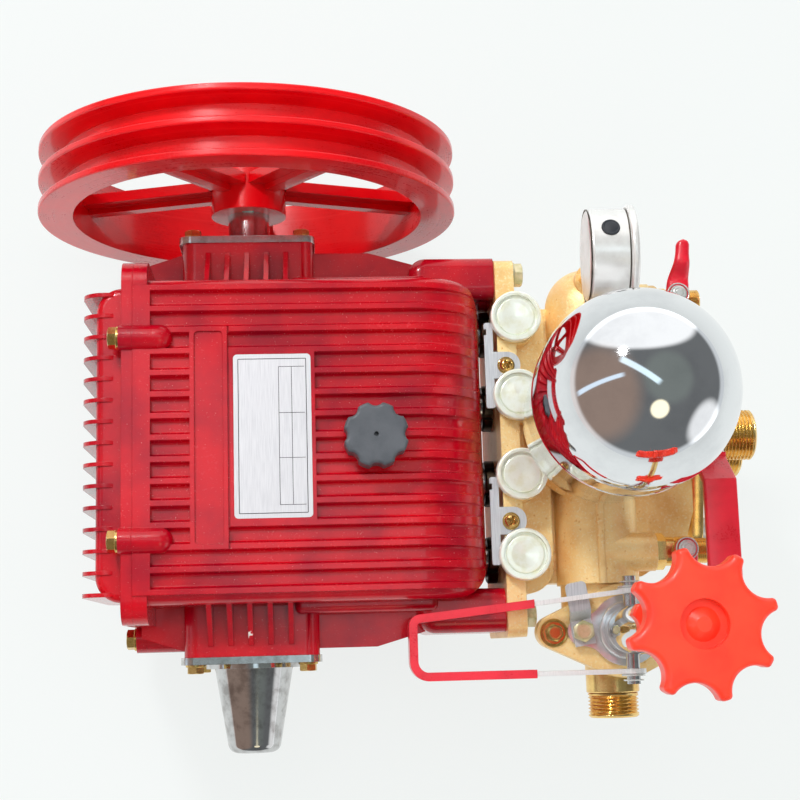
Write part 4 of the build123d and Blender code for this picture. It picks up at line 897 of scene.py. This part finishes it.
class Form:
    """A mesh in the making, in the drawing's millimetres."""

    def __init__(self) -> None:
        """Start with nothing."""
        self.mesh = bmesh.new()

    def skin(self, rings: Sequence[Sequence[Vector]], loop: bool = False, caps: bool = False) -> None:
        """Join rings of points with faces.

        Args:
            rings: The rings in order; a ring of one point is a pole.
            loop: Whether the last ring joins the first.
            caps: Whether the first and the last ring are filled.
        """
        made = [[self.mesh.verts.new(p) for p in ring] for ring in rings]
        if caps:
            self.mesh.faces.new(made[0])
            self.mesh.faces.new(made[-1])
        if loop:
            made.append(made[0])
        for low, high in zip(made, made[1:]):
            count = max(len(low), len(high))
            for n in range(count):
                m = (n + 1) % count
                corners = (low[n % len(low)], low[m % len(low)], high[m % len(high)], high[n % len(high)])
                self.mesh.faces.new(list(dict.fromkeys(corners)))

    def lathe(self, profile: Profile, place: Matrix, steps: int = 48, loop: bool = False) -> None:
        """Turn a profile round the place's own Z axis.

        Args:
            profile: Radius and height of each ring, or what gives them at an angle; radius 0 is a pole.
            place: Where the turned shape stands.
            steps: The points of a ring.
            loop: Whether the profile is closed.
        """
        def at(size: Size, angle: float) -> float:
            """A size at one angle."""
            return size(angle) if callable(size) else size
        angles = [n * math.tau / steps for n in range(steps)]
        rings = []
        for radius, height in profile:
            if radius == 0:
                rings.append([place @ Vector((0, 0, height))])
            else:
                rings.append([place @ Vector((at(radius, a) * math.cos(a), at(radius, a) * math.sin(a),
                                              at(height, a))) for a in angles])
        self.skin(rings, loop)

    def prism(self, outline: Sequence[tuple[float, float]], low: float, high: float, place: Matrix,
              edge: float = 0.0) -> None:
        """Extrude an outline along the place's own Z axis.

        Args:
            outline: Its corners, anticlockwise.
            low: The underside.
            high: The top.
            place: The frame that it is drawn in.
            edge: The radius of its rims.
        """
        count = len(outline)
        points = [Vector(p) for p in outline]
        lines = [(points[(n + 1) % count] - points[n]).normalized() for n in range(count)]
        out = [Vector((line.y, -line.x)) for line in lines]
        moves = [(out[n - 1] + out[n]) / (1 + out[n - 1].dot(out[n])) for n in range(count)]
        arc = [(edge * (1 - math.sin(a)), edge * (1 - math.cos(a))) for a in (0, math.pi / 4, math.pi / 2)]
        arc = arc if edge else [(0.0, 0.0)]
        layers = [(inset, low + rise) for inset, rise in arc]
        layers += [(inset, high - rise) for inset, rise in reversed(arc)]
        self.skin([[place @ (p - move * inset).to_3d() + place.to_3x3() @ Vector((0, 0, z))
                    for p, move in zip(points, moves)] for inset, z in layers], caps=True)

    def sweep(self, path: Sequence[Point], section: Sequence[tuple[float, float]], side: Vector) -> None:
        """Carry a section along a path.

        Args:
            path: The path's points.
            section: The section's points, across and up.
            side: The direction that counts as across.
        """
        points = [Vector(p) for p in path]
        rings = []
        for n, point in enumerate(points):
            before = (point - points[max(n - 1, 0)]).normalized() if n else (points[1] - point).normalized()
            after = (points[n + 1] - point).normalized() if n + 1 < len(points) else before
            along = (before + after).normalized()
            up = side.cross(along) / max(0.3, along.dot(before))
            rings.append([point + side * u - up * v for u, v in section])
        self.skin(rings, caps=True)

    def bolt(self, place: Matrix, flats: float, washer: float = 0.0, height: float = 0.0) -> None:
        """A hexagon head, on a washer where that has a width.

        Args:
            place: Where it is seated, with its Z axis out of the seat.
            flats: The head's width across the flats.
            washer: The washer's diameter.
            height: The head's height, 0 for the usual one.
        """
        low = 0.0
        if washer:
            low = WASHER_SHARE * washer
            self.lathe(disc(washer / 2, low, 0.3), place)
        high = low + (height or HEAD_SHARE * flats)
        dish = DISH_SHARE * flats
        self.lathe([(0, low + SUNK)] + hexagon(flats, low + SUNK, high)
                   + [(dish + 0.3, high), (dish, high - 0.25), (0, high - 0.25)], place, 36)

    def cross_screw(self, place: Matrix, radius: float, height: float) -> None:
        """A round screw head with a cross in it.

        Args:
            place: Where it is seated.
            radius: The head's radius.
            height: How high its middle stands.
        """
        arm_width, arm_reach, depth = 0.17 * radius, 0.62 * radius, 0.55

        def top(share: float) -> Callable[[float], float]:
            """The height of the head on one ring.

            Args:
                share: The ring's radius, as a share of the head's.

            Returns:
                What gives the height at an angle.
            """
            def level(angle: float) -> float:
                """The height at one angle, lower in the cross's arms."""
                x, y = share * radius * math.cos(angle), share * radius * math.sin(angle)
                near = min(abs(x), abs(y)) / arm_width
                arm = max(0.0, 1 - near ** 4) if max(abs(x), abs(y)) < arm_reach else 0.0
                return height * (1 - depth * share ** 3) - depth * height * arm
            return level
        rings: Profile = [(0, SUNK), (radius, SUNK), (radius, height * 0.3)]
        shares = (0.97, 0.9, 0.8, 0.7, 0.63, 0.6, 0.5, 0.4, 0.3, 0.2, 0.1)
        rings += [(share * radius, top(share)) for share in shares]
        self.lathe(rings + [(0, 0.45 * height)], place, 64)

    def done(self, name: str, material: bpy.types.Material, body: str, *stands_for: str,
             sharp: float = 32.0) -> bpy.types.Object:
        """Move the mesh to the row frame and make it a piece of the pump.

        Args:
            name: The piece's name.
            material: Its finish.
            body: The body that it moves with.
            stands_for: The CAD nodes in whose place it is seen.
            sharp: The angle from which an edge stays sharp, in degrees.

        Returns:
            The new object.
        """
        for vert in self.mesh.verts:
            vert.co = row(*vert.co)
        bmesh.ops.recalc_face_normals(self.mesh, faces=self.mesh.faces)
        data = bpy.data.meshes.new(name)
        self.mesh.to_mesh(data)
        self.mesh.free()
        data.materials.append(material)
        data.shade_smooth()
        data.set_sharp_from_angle(angle=math.radians(sharp))
        piece = bpy.data.objects.new(name, data)
        bpy.context.scene.collection.objects.link(piece)
        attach(piece, body)
        if stands_for:
            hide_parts(*stands_for)
        LOG.info("piece %s rides on %s", name, body)
        return piece


def rounded_box(width: float, depth: float, radius: float, steps: int = 5) -> list[tuple[float, float]]:
    """The outline of a rectangle with round corners, about its middle.

    Args:
        width: Its size along the first axis.
        depth: Its size along the second.
        radius: The radius of its corners.
        steps: The points of a corner.

    Returns:
        Its points, anticlockwise.
    """
    points = []
    for corner in range(4):
        x = (width / 2 - radius) * (1 if corner in (0, 3) else -1)
        y = (depth / 2 - radius) * (1 if corner < 2 else -1)
        for n in range(steps + 1):
            angle = (corner + n / steps) * math.pi / 2
            points.append((x + radius * math.cos(angle), y + radius * math.sin(angle)))
    return points


# ---- Sub-assemblies


@dataclass
class Crankcase:
    """What is screwed and fixed to the crankcase."""

    paint: dict[str, bpy.types.Material]
    cover_bolts: tuple[Point, ...] = ((-78.5, 63, 82), (-78.5, -63, 82), (-77, 121, -12), (-77, -121, -12))
    cover_flats: float = 12.0
    cover_washer: float = 15.0
    cover_turn: float = 12.0
    bearing_face: float = 138.5
    bearing_bolt: float = 35.5
    bearing_flats: float = 10.0
    bearing_washer: float = 12.5
    plate_middle: float = 16.0
    plate_top: float = 85.0
    plate_size: tuple[float, float] = (48.0, 102.0)
    plate_margin: float = 3.0
    rule: float = 0.45
    fine_rule: float = 0.315
    columns: tuple[float, ...] = (4.0, 12.0)
    rows: tuple[float, ...] = (-43.0, -14.0, 14.0, 43.0)
    row_length: float = 16.0

    def rear_bolts(self) -> None:
        """The bolts of the rear cover, in its bosses and lugs."""
        form = Form()
        for place in self.cover_bolts:
            form.bolt(stand(place, (-1, 0, 0), self.cover_turn), self.cover_flats, self.cover_washer)
        form.done("rear_cover_bolts", self.paint["gold_zinc"], "pump")

    def bearing_bolts(self) -> None:
        """The bolts at the corners of both bearing covers."""
        for name, way in (("pulley_side", 1), ("guard_side", -1)):
            form = Form()
            for x in (-self.bearing_bolt, self.bearing_bolt):
                for z in (-self.bearing_bolt, self.bearing_bolt):
                    form.bolt(stand((x, way * self.bearing_face, z), (0, way, 0), 7 * x),
                              self.bearing_flats, self.bearing_washer)
            form.done("bearing_bolts_" + name, self.paint["gold_zinc"], "pump")

    def plate_rules(self) -> None:
        """The thin ruled lines of the bare plate."""
        form = Form()
        wide, long = self.plate_size
        edge = self.plate_margin
        lines = [(0.0, side * (long / 2 - edge), wide - 2 * edge, self.rule) for side in (-1, 1)]
        lines += [(side * (wide / 2 - edge), 0.0, self.rule, long - 2 * edge) for side in (-1, 1)]
        lines += [(x, 0.0, self.fine_rule, long - self.row_length) for x in self.columns]
        lines += [(self.columns[-1], y, self.row_length, self.fine_rule) for y in self.rows]
        for x, y, size_x, size_y in lines:
            form.prism(rounded_box(size_x, size_y, min(size_x, size_y) * 0.3, 1), -0.02, 0.06,
                       stand((self.plate_middle + x, y, self.plate_top)))
        form.done("plate_rules", self.paint["ink"], "pump")

    def build(self) -> None:
        """All of it."""
        self.rear_bolts()
        self.bearing_bolts()
        self.plate_rules()


@dataclass
class ValveBlock:
    """The fasteners of the brass block and its lock plates."""

    paint: dict[str, bpy.types.Material]
    face: float = 174.5
    bolts: tuple[tuple[float, float], ...] = ((111.5, 37.0), (-112.5, 35.0), (111.5, -36.0), (-112.5, -36.0))
    flats: float = 14.0
    washer: float = 17.0
    head: float = 5.4
    screws: tuple[Point, ...] = ((166.7, 47.6, 52.6), (166.1, -53.5, 52.6))
    screw_radius: float = 4.6
    screw_height: float = 3.4
    screw_washer: tuple[float, float] = (5.6, 1.1)

    def flange_bolts(self) -> None:
        """The bolts that hold the block to the crankcase's arms."""
        form = Form()
        for n, (y, z) in enumerate(self.bolts):
            form.bolt(stand((self.face, y, z), (1, 0, 0), 17 * n), self.flats, self.washer, self.head)
        form.done("block_bolts", self.paint["green_zinc"], "pump")

    def lock_screws(self) -> None:
        """The cross-head screws of the lock plates, on their washers."""
        form = Form()
        for n, place in enumerate(self.screws):
            form.lathe(disc(*self.screw_washer), stand(place))
            form.cross_screw(stand(Vector(place) + Vector((0, 0, self.screw_washer[1])), turn=25 + 40 * n),
                             self.screw_radius, self.screw_height)
        form.done("lock_screws", self.paint["gold_zinc"], "pump")

    def build(self) -> None:
        """All of it."""
        self.flange_bolts()
        self.lock_screws()


@dataclass
class AirChamber:
    """The polished air chamber, which stands a little out of true, with its weld and its foot."""

    paint: dict[str, bpy.types.Material]
    foot: Point = (221.0, 2.0, 52.0)
    lean: float = 1.8
    radius: float = 57.0
    shoulder: float = 138.0
    top: float = 197.9
    steps: int = 144
    skirt: Curve = ((0, 0), (20.5, 0), (22, 1.2), (22, 8), (24, 11), (34, 20.5), (45, 33.5), (50, 41.5),
                    (51.5, 46), (52.4, 60))
    seam: Curve = ((55.4, 112), (55.9, 113.2), (56.4, 114.2), (56.0, 115.4), (56.0, 117))

    def build(self) -> None:
        """The whole shell in one turned skin."""
        form = Form()
        count = self.steps // 3
        dome = [(self.radius * math.cos(a), self.shoulder + (self.top - self.shoulder) * math.sin(a))
                for a in (n * math.pi / 2 / count for n in range(count))]
        tilt = math.radians(self.lean)
        form.lathe([*self.skirt, *self.seam, *dome, (0, self.top)],
                   stand(self.foot, (0, math.sin(tilt), math.cos(tilt))), self.steps)
        form.done("air_chamber_shell", self.paint["chrome"], "pump", "air_chamber")


@dataclass
class Outlets:
    """The threaded outlets, the inlet and the valve bodies on the manifolds."""

    paint: dict[str, bpy.types.Material]
    pipe_pitch: float = 2.31
    small_pitch: float = 1.34
    pipe_radius: float = 16.6
    pipe_bore: float = 12.5
    bypass: Point = (236.0, -152.0, 4.0)
    bypass_collar: tuple[float, float] = (17.4, 12.0)
    bypass_length: float = 28.0
    bypass_floor: float = 3.0
    inlet: Point = (300.0, 2.0, -28.0)
    inlet_radius: float = 20.95
    inlet_bore: float = 16.0
    inlet_length: float = 38.0
    inlet_reach: float = 58.0
    inlet_ear: float = 12.0
    inlet_middle: float = 27.0
    inlet_thick: float = 9.0
    inlet_floor: float = 5.0
    inlet_corner: int = 12
    inlet_flats: float = 15.0
    inlet_washer: float = 20.0
    main: Point = (268.0, 2.0, 32.0)
    main_stem: float = 292.3
    main_hex: tuple[float, float] = (40.0, 14.0)
    main_barrel: Curve = ((20.5, 14.2), (20.5, 38), (19.6, 40), (17.5, 41), (15.2, 41))
    main_end: float = 63.0
    main_bonnet: Curve = ((0, 10), (10, 10), (10, 22), (9.2, 23))
    main_nut: Point = (17.0, 23.0, 28.5)
    main_stud: Curve = ((6.2, 28.5), (6.2, 30), (0, 30))
    small: tuple[Point, ...] = ((265.5, 92.0, 35.0), (261.5, -74.0, 35.0))
    small_names: tuple[str, ...] = ("small_valve_pulley_side", "small_valve_regulator_side")
    small_hex: tuple[float, float] = (20.6, 6.5)
    small_barrel: Curve = (
        (9.5, 6.6), (9.5, 11.5), (8.7, 12.1), (8.7, 13.3), (9.5, 13.9), (9.5, 24.6), (8.6, 25.5), (7.4, 25.5))
    small_radius: float = 8.3
    small_bore: float = 5.0
    small_thread: tuple[float, float, float] = (25.8, 34.5, 26.0)
    small_lip: Point = (0.7, 0.7, 0.4)
    small_stem: float = 15.5
    small_bonnet: Curve = ((0, 4), (6, 4), (6, 11))
    small_nut: Point = (10.2, 11.0, 14.0)
    small_stud: Curve = ((3.6, 14), (3.6, 15), (0, 15))

    def bypass_outlet(self) -> None:
        """The male thread that lets the surplus flow back."""
        form = Form()
        collar, end = self.bypass_collar
        radius = self.pipe_radius
        form.lathe([(0, 0), (collar, 0), (collar, end - 0.8), (collar - 0.8, end), (radius - 1.5, end)]
                   + spout(radius, self.pipe_bore, end + 0.6, self.bypass_length, self.pipe_pitch,
                           self.bypass_floor), stand(self.bypass, (0, -1, 0)), 64)
        form.done("bypass_thread", self.paint["bypass"], "pump", "bypass_outlet")

    def suction_inlet(self) -> None:
        """The inlet's two-eared flange, its bolts and its thread."""
        form = Form()
        place = stand(self.inlet, (1, 0, 0))
        across = (place.inverted() @ (Vector(self.inlet) + Vector((0, 1, 0)))).to_2d()
        heel = math.atan2(across.y, across.x)
        lean = math.acos((self.inlet_middle - self.inlet_ear) / self.inlet_reach)
        outline = []
        arcs = ((self.inlet_ear, self.inlet_reach, -lean, lean), (self.inlet_middle, 0.0, lean, math.pi - lean))
        for side in (heel, math.pi + heel):
            for radius, reach, start, end in arcs:
                for n in range(self.inlet_corner + 1):
                    angle = start + (end - start) * n / self.inlet_corner + side
                    outline.append((reach * math.cos(side) + radius * math.cos(angle),
                                    reach * math.sin(side) + radius * math.sin(angle)))
        form.prism(outline, 0, self.inlet_thick, place, 1.5)
        thick, radius = self.inlet_thick, self.inlet_radius
        form.lathe([(0, 4), (radius + 2.4, 4), (radius + 2.4, thick + 2), (radius - 1.5, thick + 4)]
                   + spout(radius, self.inlet_bore, thick + 4.5, self.inlet_length, self.pipe_pitch,
                           self.inlet_floor), place, 64)
        form.done("inlet_thread", self.paint["inlet"], "pump", "suction_inlet")
        bolts = Form()
        for side in (-1, 1):
            centre = Vector(self.inlet) + Vector((thick, side * self.inlet_reach, 0))
            bolts.bolt(stand(centre, (1, 0, 0), 20 * side), self.inlet_flats, self.inlet_washer)
        bolts.done("inlet_bolts", self.paint["bright_zinc"], "pump")

    def main_valve(self) -> None:
        """The main ball valve's body, with its gland nut and thread."""
        form = Form()
        place = stand(self.main, (1, 0, 0), 30)
        flats, start = self.main_hex
        neck = self.main_barrel[-1][1]
        form.lathe([(0, 0)] + hexagon(flats, 0, start) + [*self.main_barrel]
                   + spout(self.pipe_radius, self.pipe_bore, neck + 0.6, self.main_end, self.pipe_pitch,
                           neck + 1), place, 72)
        bonnet = stand((self.main_stem, self.main[1], self.main[2]))
        form.lathe([*self.main_bonnet, *hexagon(*self.main_nut), *self.main_stud], bonnet, 72)
        form.done("main_valve_body", self.paint["outlet"], "pump", "main_valve")

    def small_valves(self) -> None:
        """The bodies of both small ball valves."""
        for centre, name in zip(self.small, self.small_names):
            form = Form()
            flats, start = self.small_hex
            thread, end, floor = self.small_thread
            form.lathe([(0, 0)] + hexagon(flats, 0, start) + [*self.small_barrel]
                       + spout(self.small_radius, self.small_bore, thread, end, self.small_pitch, floor,
                               self.small_lip), stand(centre, (1, 0, 0), 30), 72)
            bonnet = stand(Vector(centre) + Vector((self.small_stem, 0, 0)))
            form.lathe([*self.small_bonnet, *hexagon(*self.small_nut), *self.small_stud], bonnet, 36)
            form.done(name + "_body", self.paint["small_valves"], "pump", name)

    def build(self) -> None:
        """All of them."""
        self.bypass_outlet()
        self.suction_inlet()
        self.main_valve()
        self.small_valves()


@dataclass
class Gauge:
    """The dial's marks, numbers and pointer, the dark rings of painted shade at the case's seams, and its plug.
    """

    paint: dict[str, bpy.types.Material]
    middle: Point = (228.0, 107.4, 100.0)
    lean: float = -4.0
    radius: float = 29.3
    face: float = 1.9
    scale_radius: float = 23.5
    divisions: int = 50
    sweep: float = 270.0
    numbers: tuple[int, ...] = (0, 20, 40, 60, 80, 100)
    number_size: float = 4.6
    number_inset: float = 7.2
    number_drop: float = 1.6
    number_relief: float = 0.03
    needle: Curve = ((-1.5, -7.5), (1.5, -7.5), (1.1, 0), (0.25, 20), (-0.25, 20), (-1.1, 0))
    hub: Curve = ((0, 0), (2.6, 0), (2.6, 2.4), (2.1, 2.9), (0.9, 2.9), (0.8, 2.6), (0, 2.6))
    seam_places: tuple[float, float] = (-14.3, 9.5)
    seam_half: float = 0.4
    seam_rise: float = 0.14
    plug_x: float = 224.3
    plug_tilt: float = 22.0
    plug_curve: Curve = ((0, -0.4), (5.4, -0.4), (5.8, 0.6), (5.5, 1.3), (4.7, 1.5), (4.2, 1.2), (3.6, 1.5),
                         (2.2, 2.0), (0, 2.15))

    def frame(self) -> Matrix:
        """The dial's own frame: X to the right, Y up and Z out of the dial."""
        turned = Matrix(((0, 0, 1, 0), (1, 0, 0, 0), (0, 1, 0, 0), (0, 0, 0, 1)))
        return Matrix.Translation(self.middle) @ Matrix.Rotation(math.radians(self.lean), 4, "Y") @ turned

    def bearing(self, share: float) -> float:
        """The angle from upright, clockwise, of a share of the scale, in radians."""
        return math.radians((share - 0.5) * self.sweep)

    def marks(self) -> None:
        """The short and long marks of the scale."""
        form = Form()
        for n in range(self.divisions + 1):
            long, wide = (3.6, 0.55) if n % 5 == 0 else (2.0, 0.3)
            turn = Matrix.Rotation(-self.bearing(n / self.divisions), 4, "Z")
            shift = Matrix.Translation((0, self.scale_radius - long / 2, self.face))
            form.prism(rounded_box(wide, long, 0.1, 1), -0.02, 0.08, self.frame() @ turn @ shift)
        form.done("dial_marks", self.paint["ink"], "pump")

    def figures(self) -> None:
        """The numbers of the scale."""
        frame_3 = self.frame().to_3x3()
        for n, number in enumerate(self.numbers):
            angle = self.bearing(n / (len(self.numbers) - 1))
            reach = self.scale_radius - self.number_inset
            spot = self.frame() @ Vector((reach * math.sin(angle), reach * math.cos(angle) - self.number_drop,
                                          self.face))
            text = bpy.data.curves.new("dial_number_%d" % number, "FONT")
            text.body = str(number)
            text.size = self.number_size * MM
            text.extrude = self.number_relief * MM
            text.align_x = "CENTER"
            text.materials.append(self.paint["ink"])
            piece = bpy.data.objects.new(text.name, text)
            piece.matrix_world = Matrix.Translation(row(*spot)) @ frame_3.to_4x4()
            bpy.context.scene.collection.objects.link(piece)
            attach(piece, "pump")
            LOG.info("piece %s rides on pump", piece.name)

    def pointer(self) -> None:
        """The pointer at rest at the low end of the scale."""
        form = Form()
        turn = Matrix.Rotation(-self.bearing(0.0), 4, "Z") @ Matrix.Translation((0, 0, self.face))
        turn = self.frame() @ turn
        form.prism(self.needle, 1.3, 1.9, turn, 0.15)
        form.lathe([*self.hub], turn, 32)
        form.done("dial_pointer", self.paint["pointer"], "pump", "gauge_pointer")

    def seams(self) -> None:
        """The dark lines where the case meets its back and its bezel: rings of dark steel that paint the shade
        of the grooves there.
        """
        form = Form()
        inner, outer = self.radius - self.seam_half, self.radius + self.seam_rise
        for z in self.seam_places:
            low, high = z - self.seam_half, z + self.seam_half
            # Painted shade: each dark ring stands in for the shade in a groove of the case.
            form.lathe([(inner, low), (outer, low), (outer, high), (inner, high)], self.frame(), 96, True)
        form.done("gauge_seam_shade", self.paint["gland"], "pump")

    def plug(self) -> None:
        """The domed rubber plug in the case, with its lip."""
        form = Form()
        tilt = math.radians(self.plug_tilt)
        way = (0.0, math.sin(tilt), math.cos(tilt))
        foot = Vector((self.plug_x, self.middle[1], self.middle[2])) + Vector(way) * (self.radius - 0.7)
        form.lathe([*self.plug_curve], stand(foot, way), 40)
        form.done("case_plug", self.paint["rubber"], "pump", "gauge_plug")

    def build(self) -> None:
        """All of them."""
        self.marks()
        self.figures()
        self.pointer()
        self.seams()
        self.plug()


@dataclass
class Regulator:
    """The fasteners of the regulator and the rings on the lever's pin."""

    paint: dict[str, bpy.types.Material]
    ears: tuple[Point, ...] = ((192.2, -124.6, 42.0), (284.0, -124.0, 42.0))
    clamps: tuple[Point, ...] = ((209.9, -124.1, 48.5), (266.0, -124.0, 46.5))
    pin: tuple[float, float] = (238.0, 62.0)
    pin_rings: tuple[tuple[float, float, float], ...] = (
        (-97.9, -96.6, 7.4), (-94.6, -93.6, 6.4), (-152.6, -151.3, 7.4), (-155.6, -154.6, 6.4))
    pin_radius: float = 4.2
    ear_washer: Curve = ((0, SUNK), (9.0, SUNK), (9.0, 0.9), (8.5, 1.4), (7.4, 1.2), (7.0, 1.7), (0, 1.7))
    ear_head: tuple[float, float] = (10.0, 3.6)
    clamp_head: tuple[float, float] = (12.4, 4.6)

    def ear_bolts(self) -> None:
        """The bolts through the flange's ears, sunk in broad washers."""
        form = Form()
        for n, place in enumerate(self.ears):
            form.lathe([*self.ear_washer], stand(place))
            seat = Vector(place) + Vector((0, 0, self.ear_washer[-1][1]))
            form.bolt(stand(seat, turn=12 + 25 * n), self.ear_head[0], height=self.ear_head[1])
        form.done("regulator_ear_bolts", self.paint["gold_zinc"], "pump")

    def clamp_bolts(self) -> None:
        """The bolts of the clamp plate."""
        form = Form()
        for n, place in enumerate(self.clamps):
            form.bolt(stand(place, turn=6 + 20 * n), self.clamp_head[0], height=self.clamp_head[1])
        form.done("clamp_bolts", self.paint["green_zinc"], "pump")

    def rings(self) -> None:
        """The washers and spring clips on the lever's pin."""
        form = Form()
        x, z = self.pin
        inner = self.pin_radius + SUNK
        for low, high, radius in self.pin_rings:
            form.lathe([(inner, low), (radius - 0.2, low), (radius, low + 0.2), (radius, high - 0.2),
                        (radius - 0.2, high), (inner, high)], stand((x, 0, z), (0, 1, 0)), 40, True)
        form.done("pin_rings", self.paint["bright_zinc"], "pump")

    def build(self) -> None:
        """All of it."""
        self.ear_bolts()
        self.clamp_bolts()
        self.rings()


@dataclass
class Levers:
    """The grip of the main lever, and the small levers with their nuts."""

    paint: dict[str, bpy.types.Material]
    stem: tuple[float, float] = (292.3, 2.0)
    low: float = 68.0
    high: float = 88.0
    bend: tuple[float, float] = (-20.0, -36.0)
    end: float = -112.0
    size: tuple[float, float] = (18.6, 3.0)
    wall: float = 1.2
    overlap: float = 4.0
    bend_ease: float = 0.5
    grip_round: float = 1.6
    half: float = 7.5
    tip: float = 4.5
    length: float = 35.0
    thick: float = 6.6
    climb: float = 9.0
    rise: tuple[float, float] = (9.0, 12.0)
    waist: tuple[float, float] = (4.0, 24.0)
    least: float = 0.6
    full_share: float = 0.45
    steps: int = 56
    corners: int = 28
    squareness: float = 0.8
    small: tuple[tuple[str, int, float, Point], ...] = (
        ("pulley_side", 1, 0.1, (281.0, 92.0, 60.0)), ("regulator_side", -1, 0.0, (277.0, -74.0, 60.0)))
    stem_radius: float = 3.0
    stem_length: float = 16.0
    rim: Curve = ((6.5, -0.4), (7.3, -0.4), (7.3, 0.9), (7.1, 1.1), (6.7, 1.1), (6.5, 0.9))
    washer: tuple[float, float] = (5.6, 0.9)
    head: tuple[float, float] = (8.0, 3.2)
    stud: Curve = ((0, 3.5), (2.4, 3.5), (2.4, 4.8), (2.1, 5.1), (0, 5.1))

    def grip(self) -> None:
        """The dipped vinyl over the slope and the arm of the main lever."""
        form = Form()
        x, y = self.stem
        wide, thick = self.size
        near, far = self.bend
        low, high = self.low + thick / 2, self.high + thick / 2
        path = [(x, y + near + self.overlap, low), (x, y + near - self.bend_ease, low),
                (x, y + far - self.bend_ease, high), (x, y + self.end + 1, high),
                (x, y + self.end - self.wall, high)]
        section = rounded_box(wide + 2 * self.wall, thick + 2 * self.wall, self.grip_round, 4)
        form.sweep(path, section, Vector((1, 0, 0)))
        form.done("main_lever_grip", self.paint["vinyl"], "main_handle", "main_valve_grip")

    def section(self, along: float) -> tuple[float, float, float]:
        """One section of a small lever.

        Args:
            along: How far from the stem it is.

        Returns:
            Half its width, half its thickness and how far it has climbed.
        """
        def ease(start: float, span: float) -> float:
            """0 up to start and 1 after the span, with a smooth step between them."""
            share = min(1.0, max(0.0, (along - start) / span))
            return share * share * (3 - 2 * share)
        wide = self.half + (self.tip - self.half) * ease(*self.waist)
        for reach, radius in ((along + self.half, self.half), (self.length - along, self.tip)):
            if reach < radius:
                wide *= math.sqrt(max(0.0, 1 - (1 - reach / radius) ** 2))
        wide = max(wide, self.least)
        slim = min(1.0, max(self.full_share, wide / (self.full_share * self.half)))
        return wide, slim * self.thick / 2, self.climb * ease(*self.rise)

    def small_grips(self) -> None:
        """The small levers, dipped in vinyl: a round heel, a soft rise and a narrow tip."""
        angles = [n * math.tau / self.corners for n in range(self.corners)]
        oval = [(math.copysign(abs(math.cos(a)) ** self.squareness, math.cos(a)), math.sin(a)) for a in angles]
        for name, way, lean, (x, y, top) in self.small:
            form = Form()
            rings = []
            for n in range(self.steps + 1):
                along = -self.half + n / self.steps * (self.length + self.half)
                wide, deep, climb = self.section(along)
                middle = Vector((x + lean * along, y + way * along, top + climb - self.thick / 2))
                rings.append([middle + Vector((u * wide, 0, v * deep)) for u, v in oval])
            form.skin(rings, caps=True)
            radius, long = self.stem_radius, self.stem_length
            form.lathe([(0, 0), (radius, 0), (radius, long), (0, long)], stand((x, y, top - long - 2)), 24)
            form.done("small_lever_" + name + "_grip", self.paint["vinyl"], "small_handle_" + name,
                      "small_lever_" + name, sharp=50.0)

    def small_nuts(self) -> None:
        """The nut and washer that hold each small lever on its stem, in the lever's bare rim."""
        flats, height = self.head
        for name, _, _, place in self.small:
            form = Form()
            form.lathe([*self.rim], stand(place), 48, True)
            form.lathe(disc(*self.washer), stand(place), 36)
            form.bolt(stand(Vector(place) + Vector((0, 0, self.washer[1]))), flats, height=height)
            form.lathe([*self.stud], stand(place), 24)
            form.done("small_lever_nut_" + name, self.paint["bright_zinc"], "small_handle_" + name)

    def build(self) -> None:
        """All of it."""
        self.grip()
        self.small_grips()
        self.small_nuts()


def main() -> None:
    """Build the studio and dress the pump."""
    logging.basicConfig(level=logging.INFO, format="%(message)s")
    Viewpoint().build()
    Studio().build()
    wardrobe = Wardrobe()
    wardrobe.build()
    for assembly in (Crankcase, ValveBlock, AirChamber, Outlets, Gauge, Regulator, Levers):
        assembly(wardrobe.materials).build()
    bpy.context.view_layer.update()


if __name__ == "__main__":
    main()
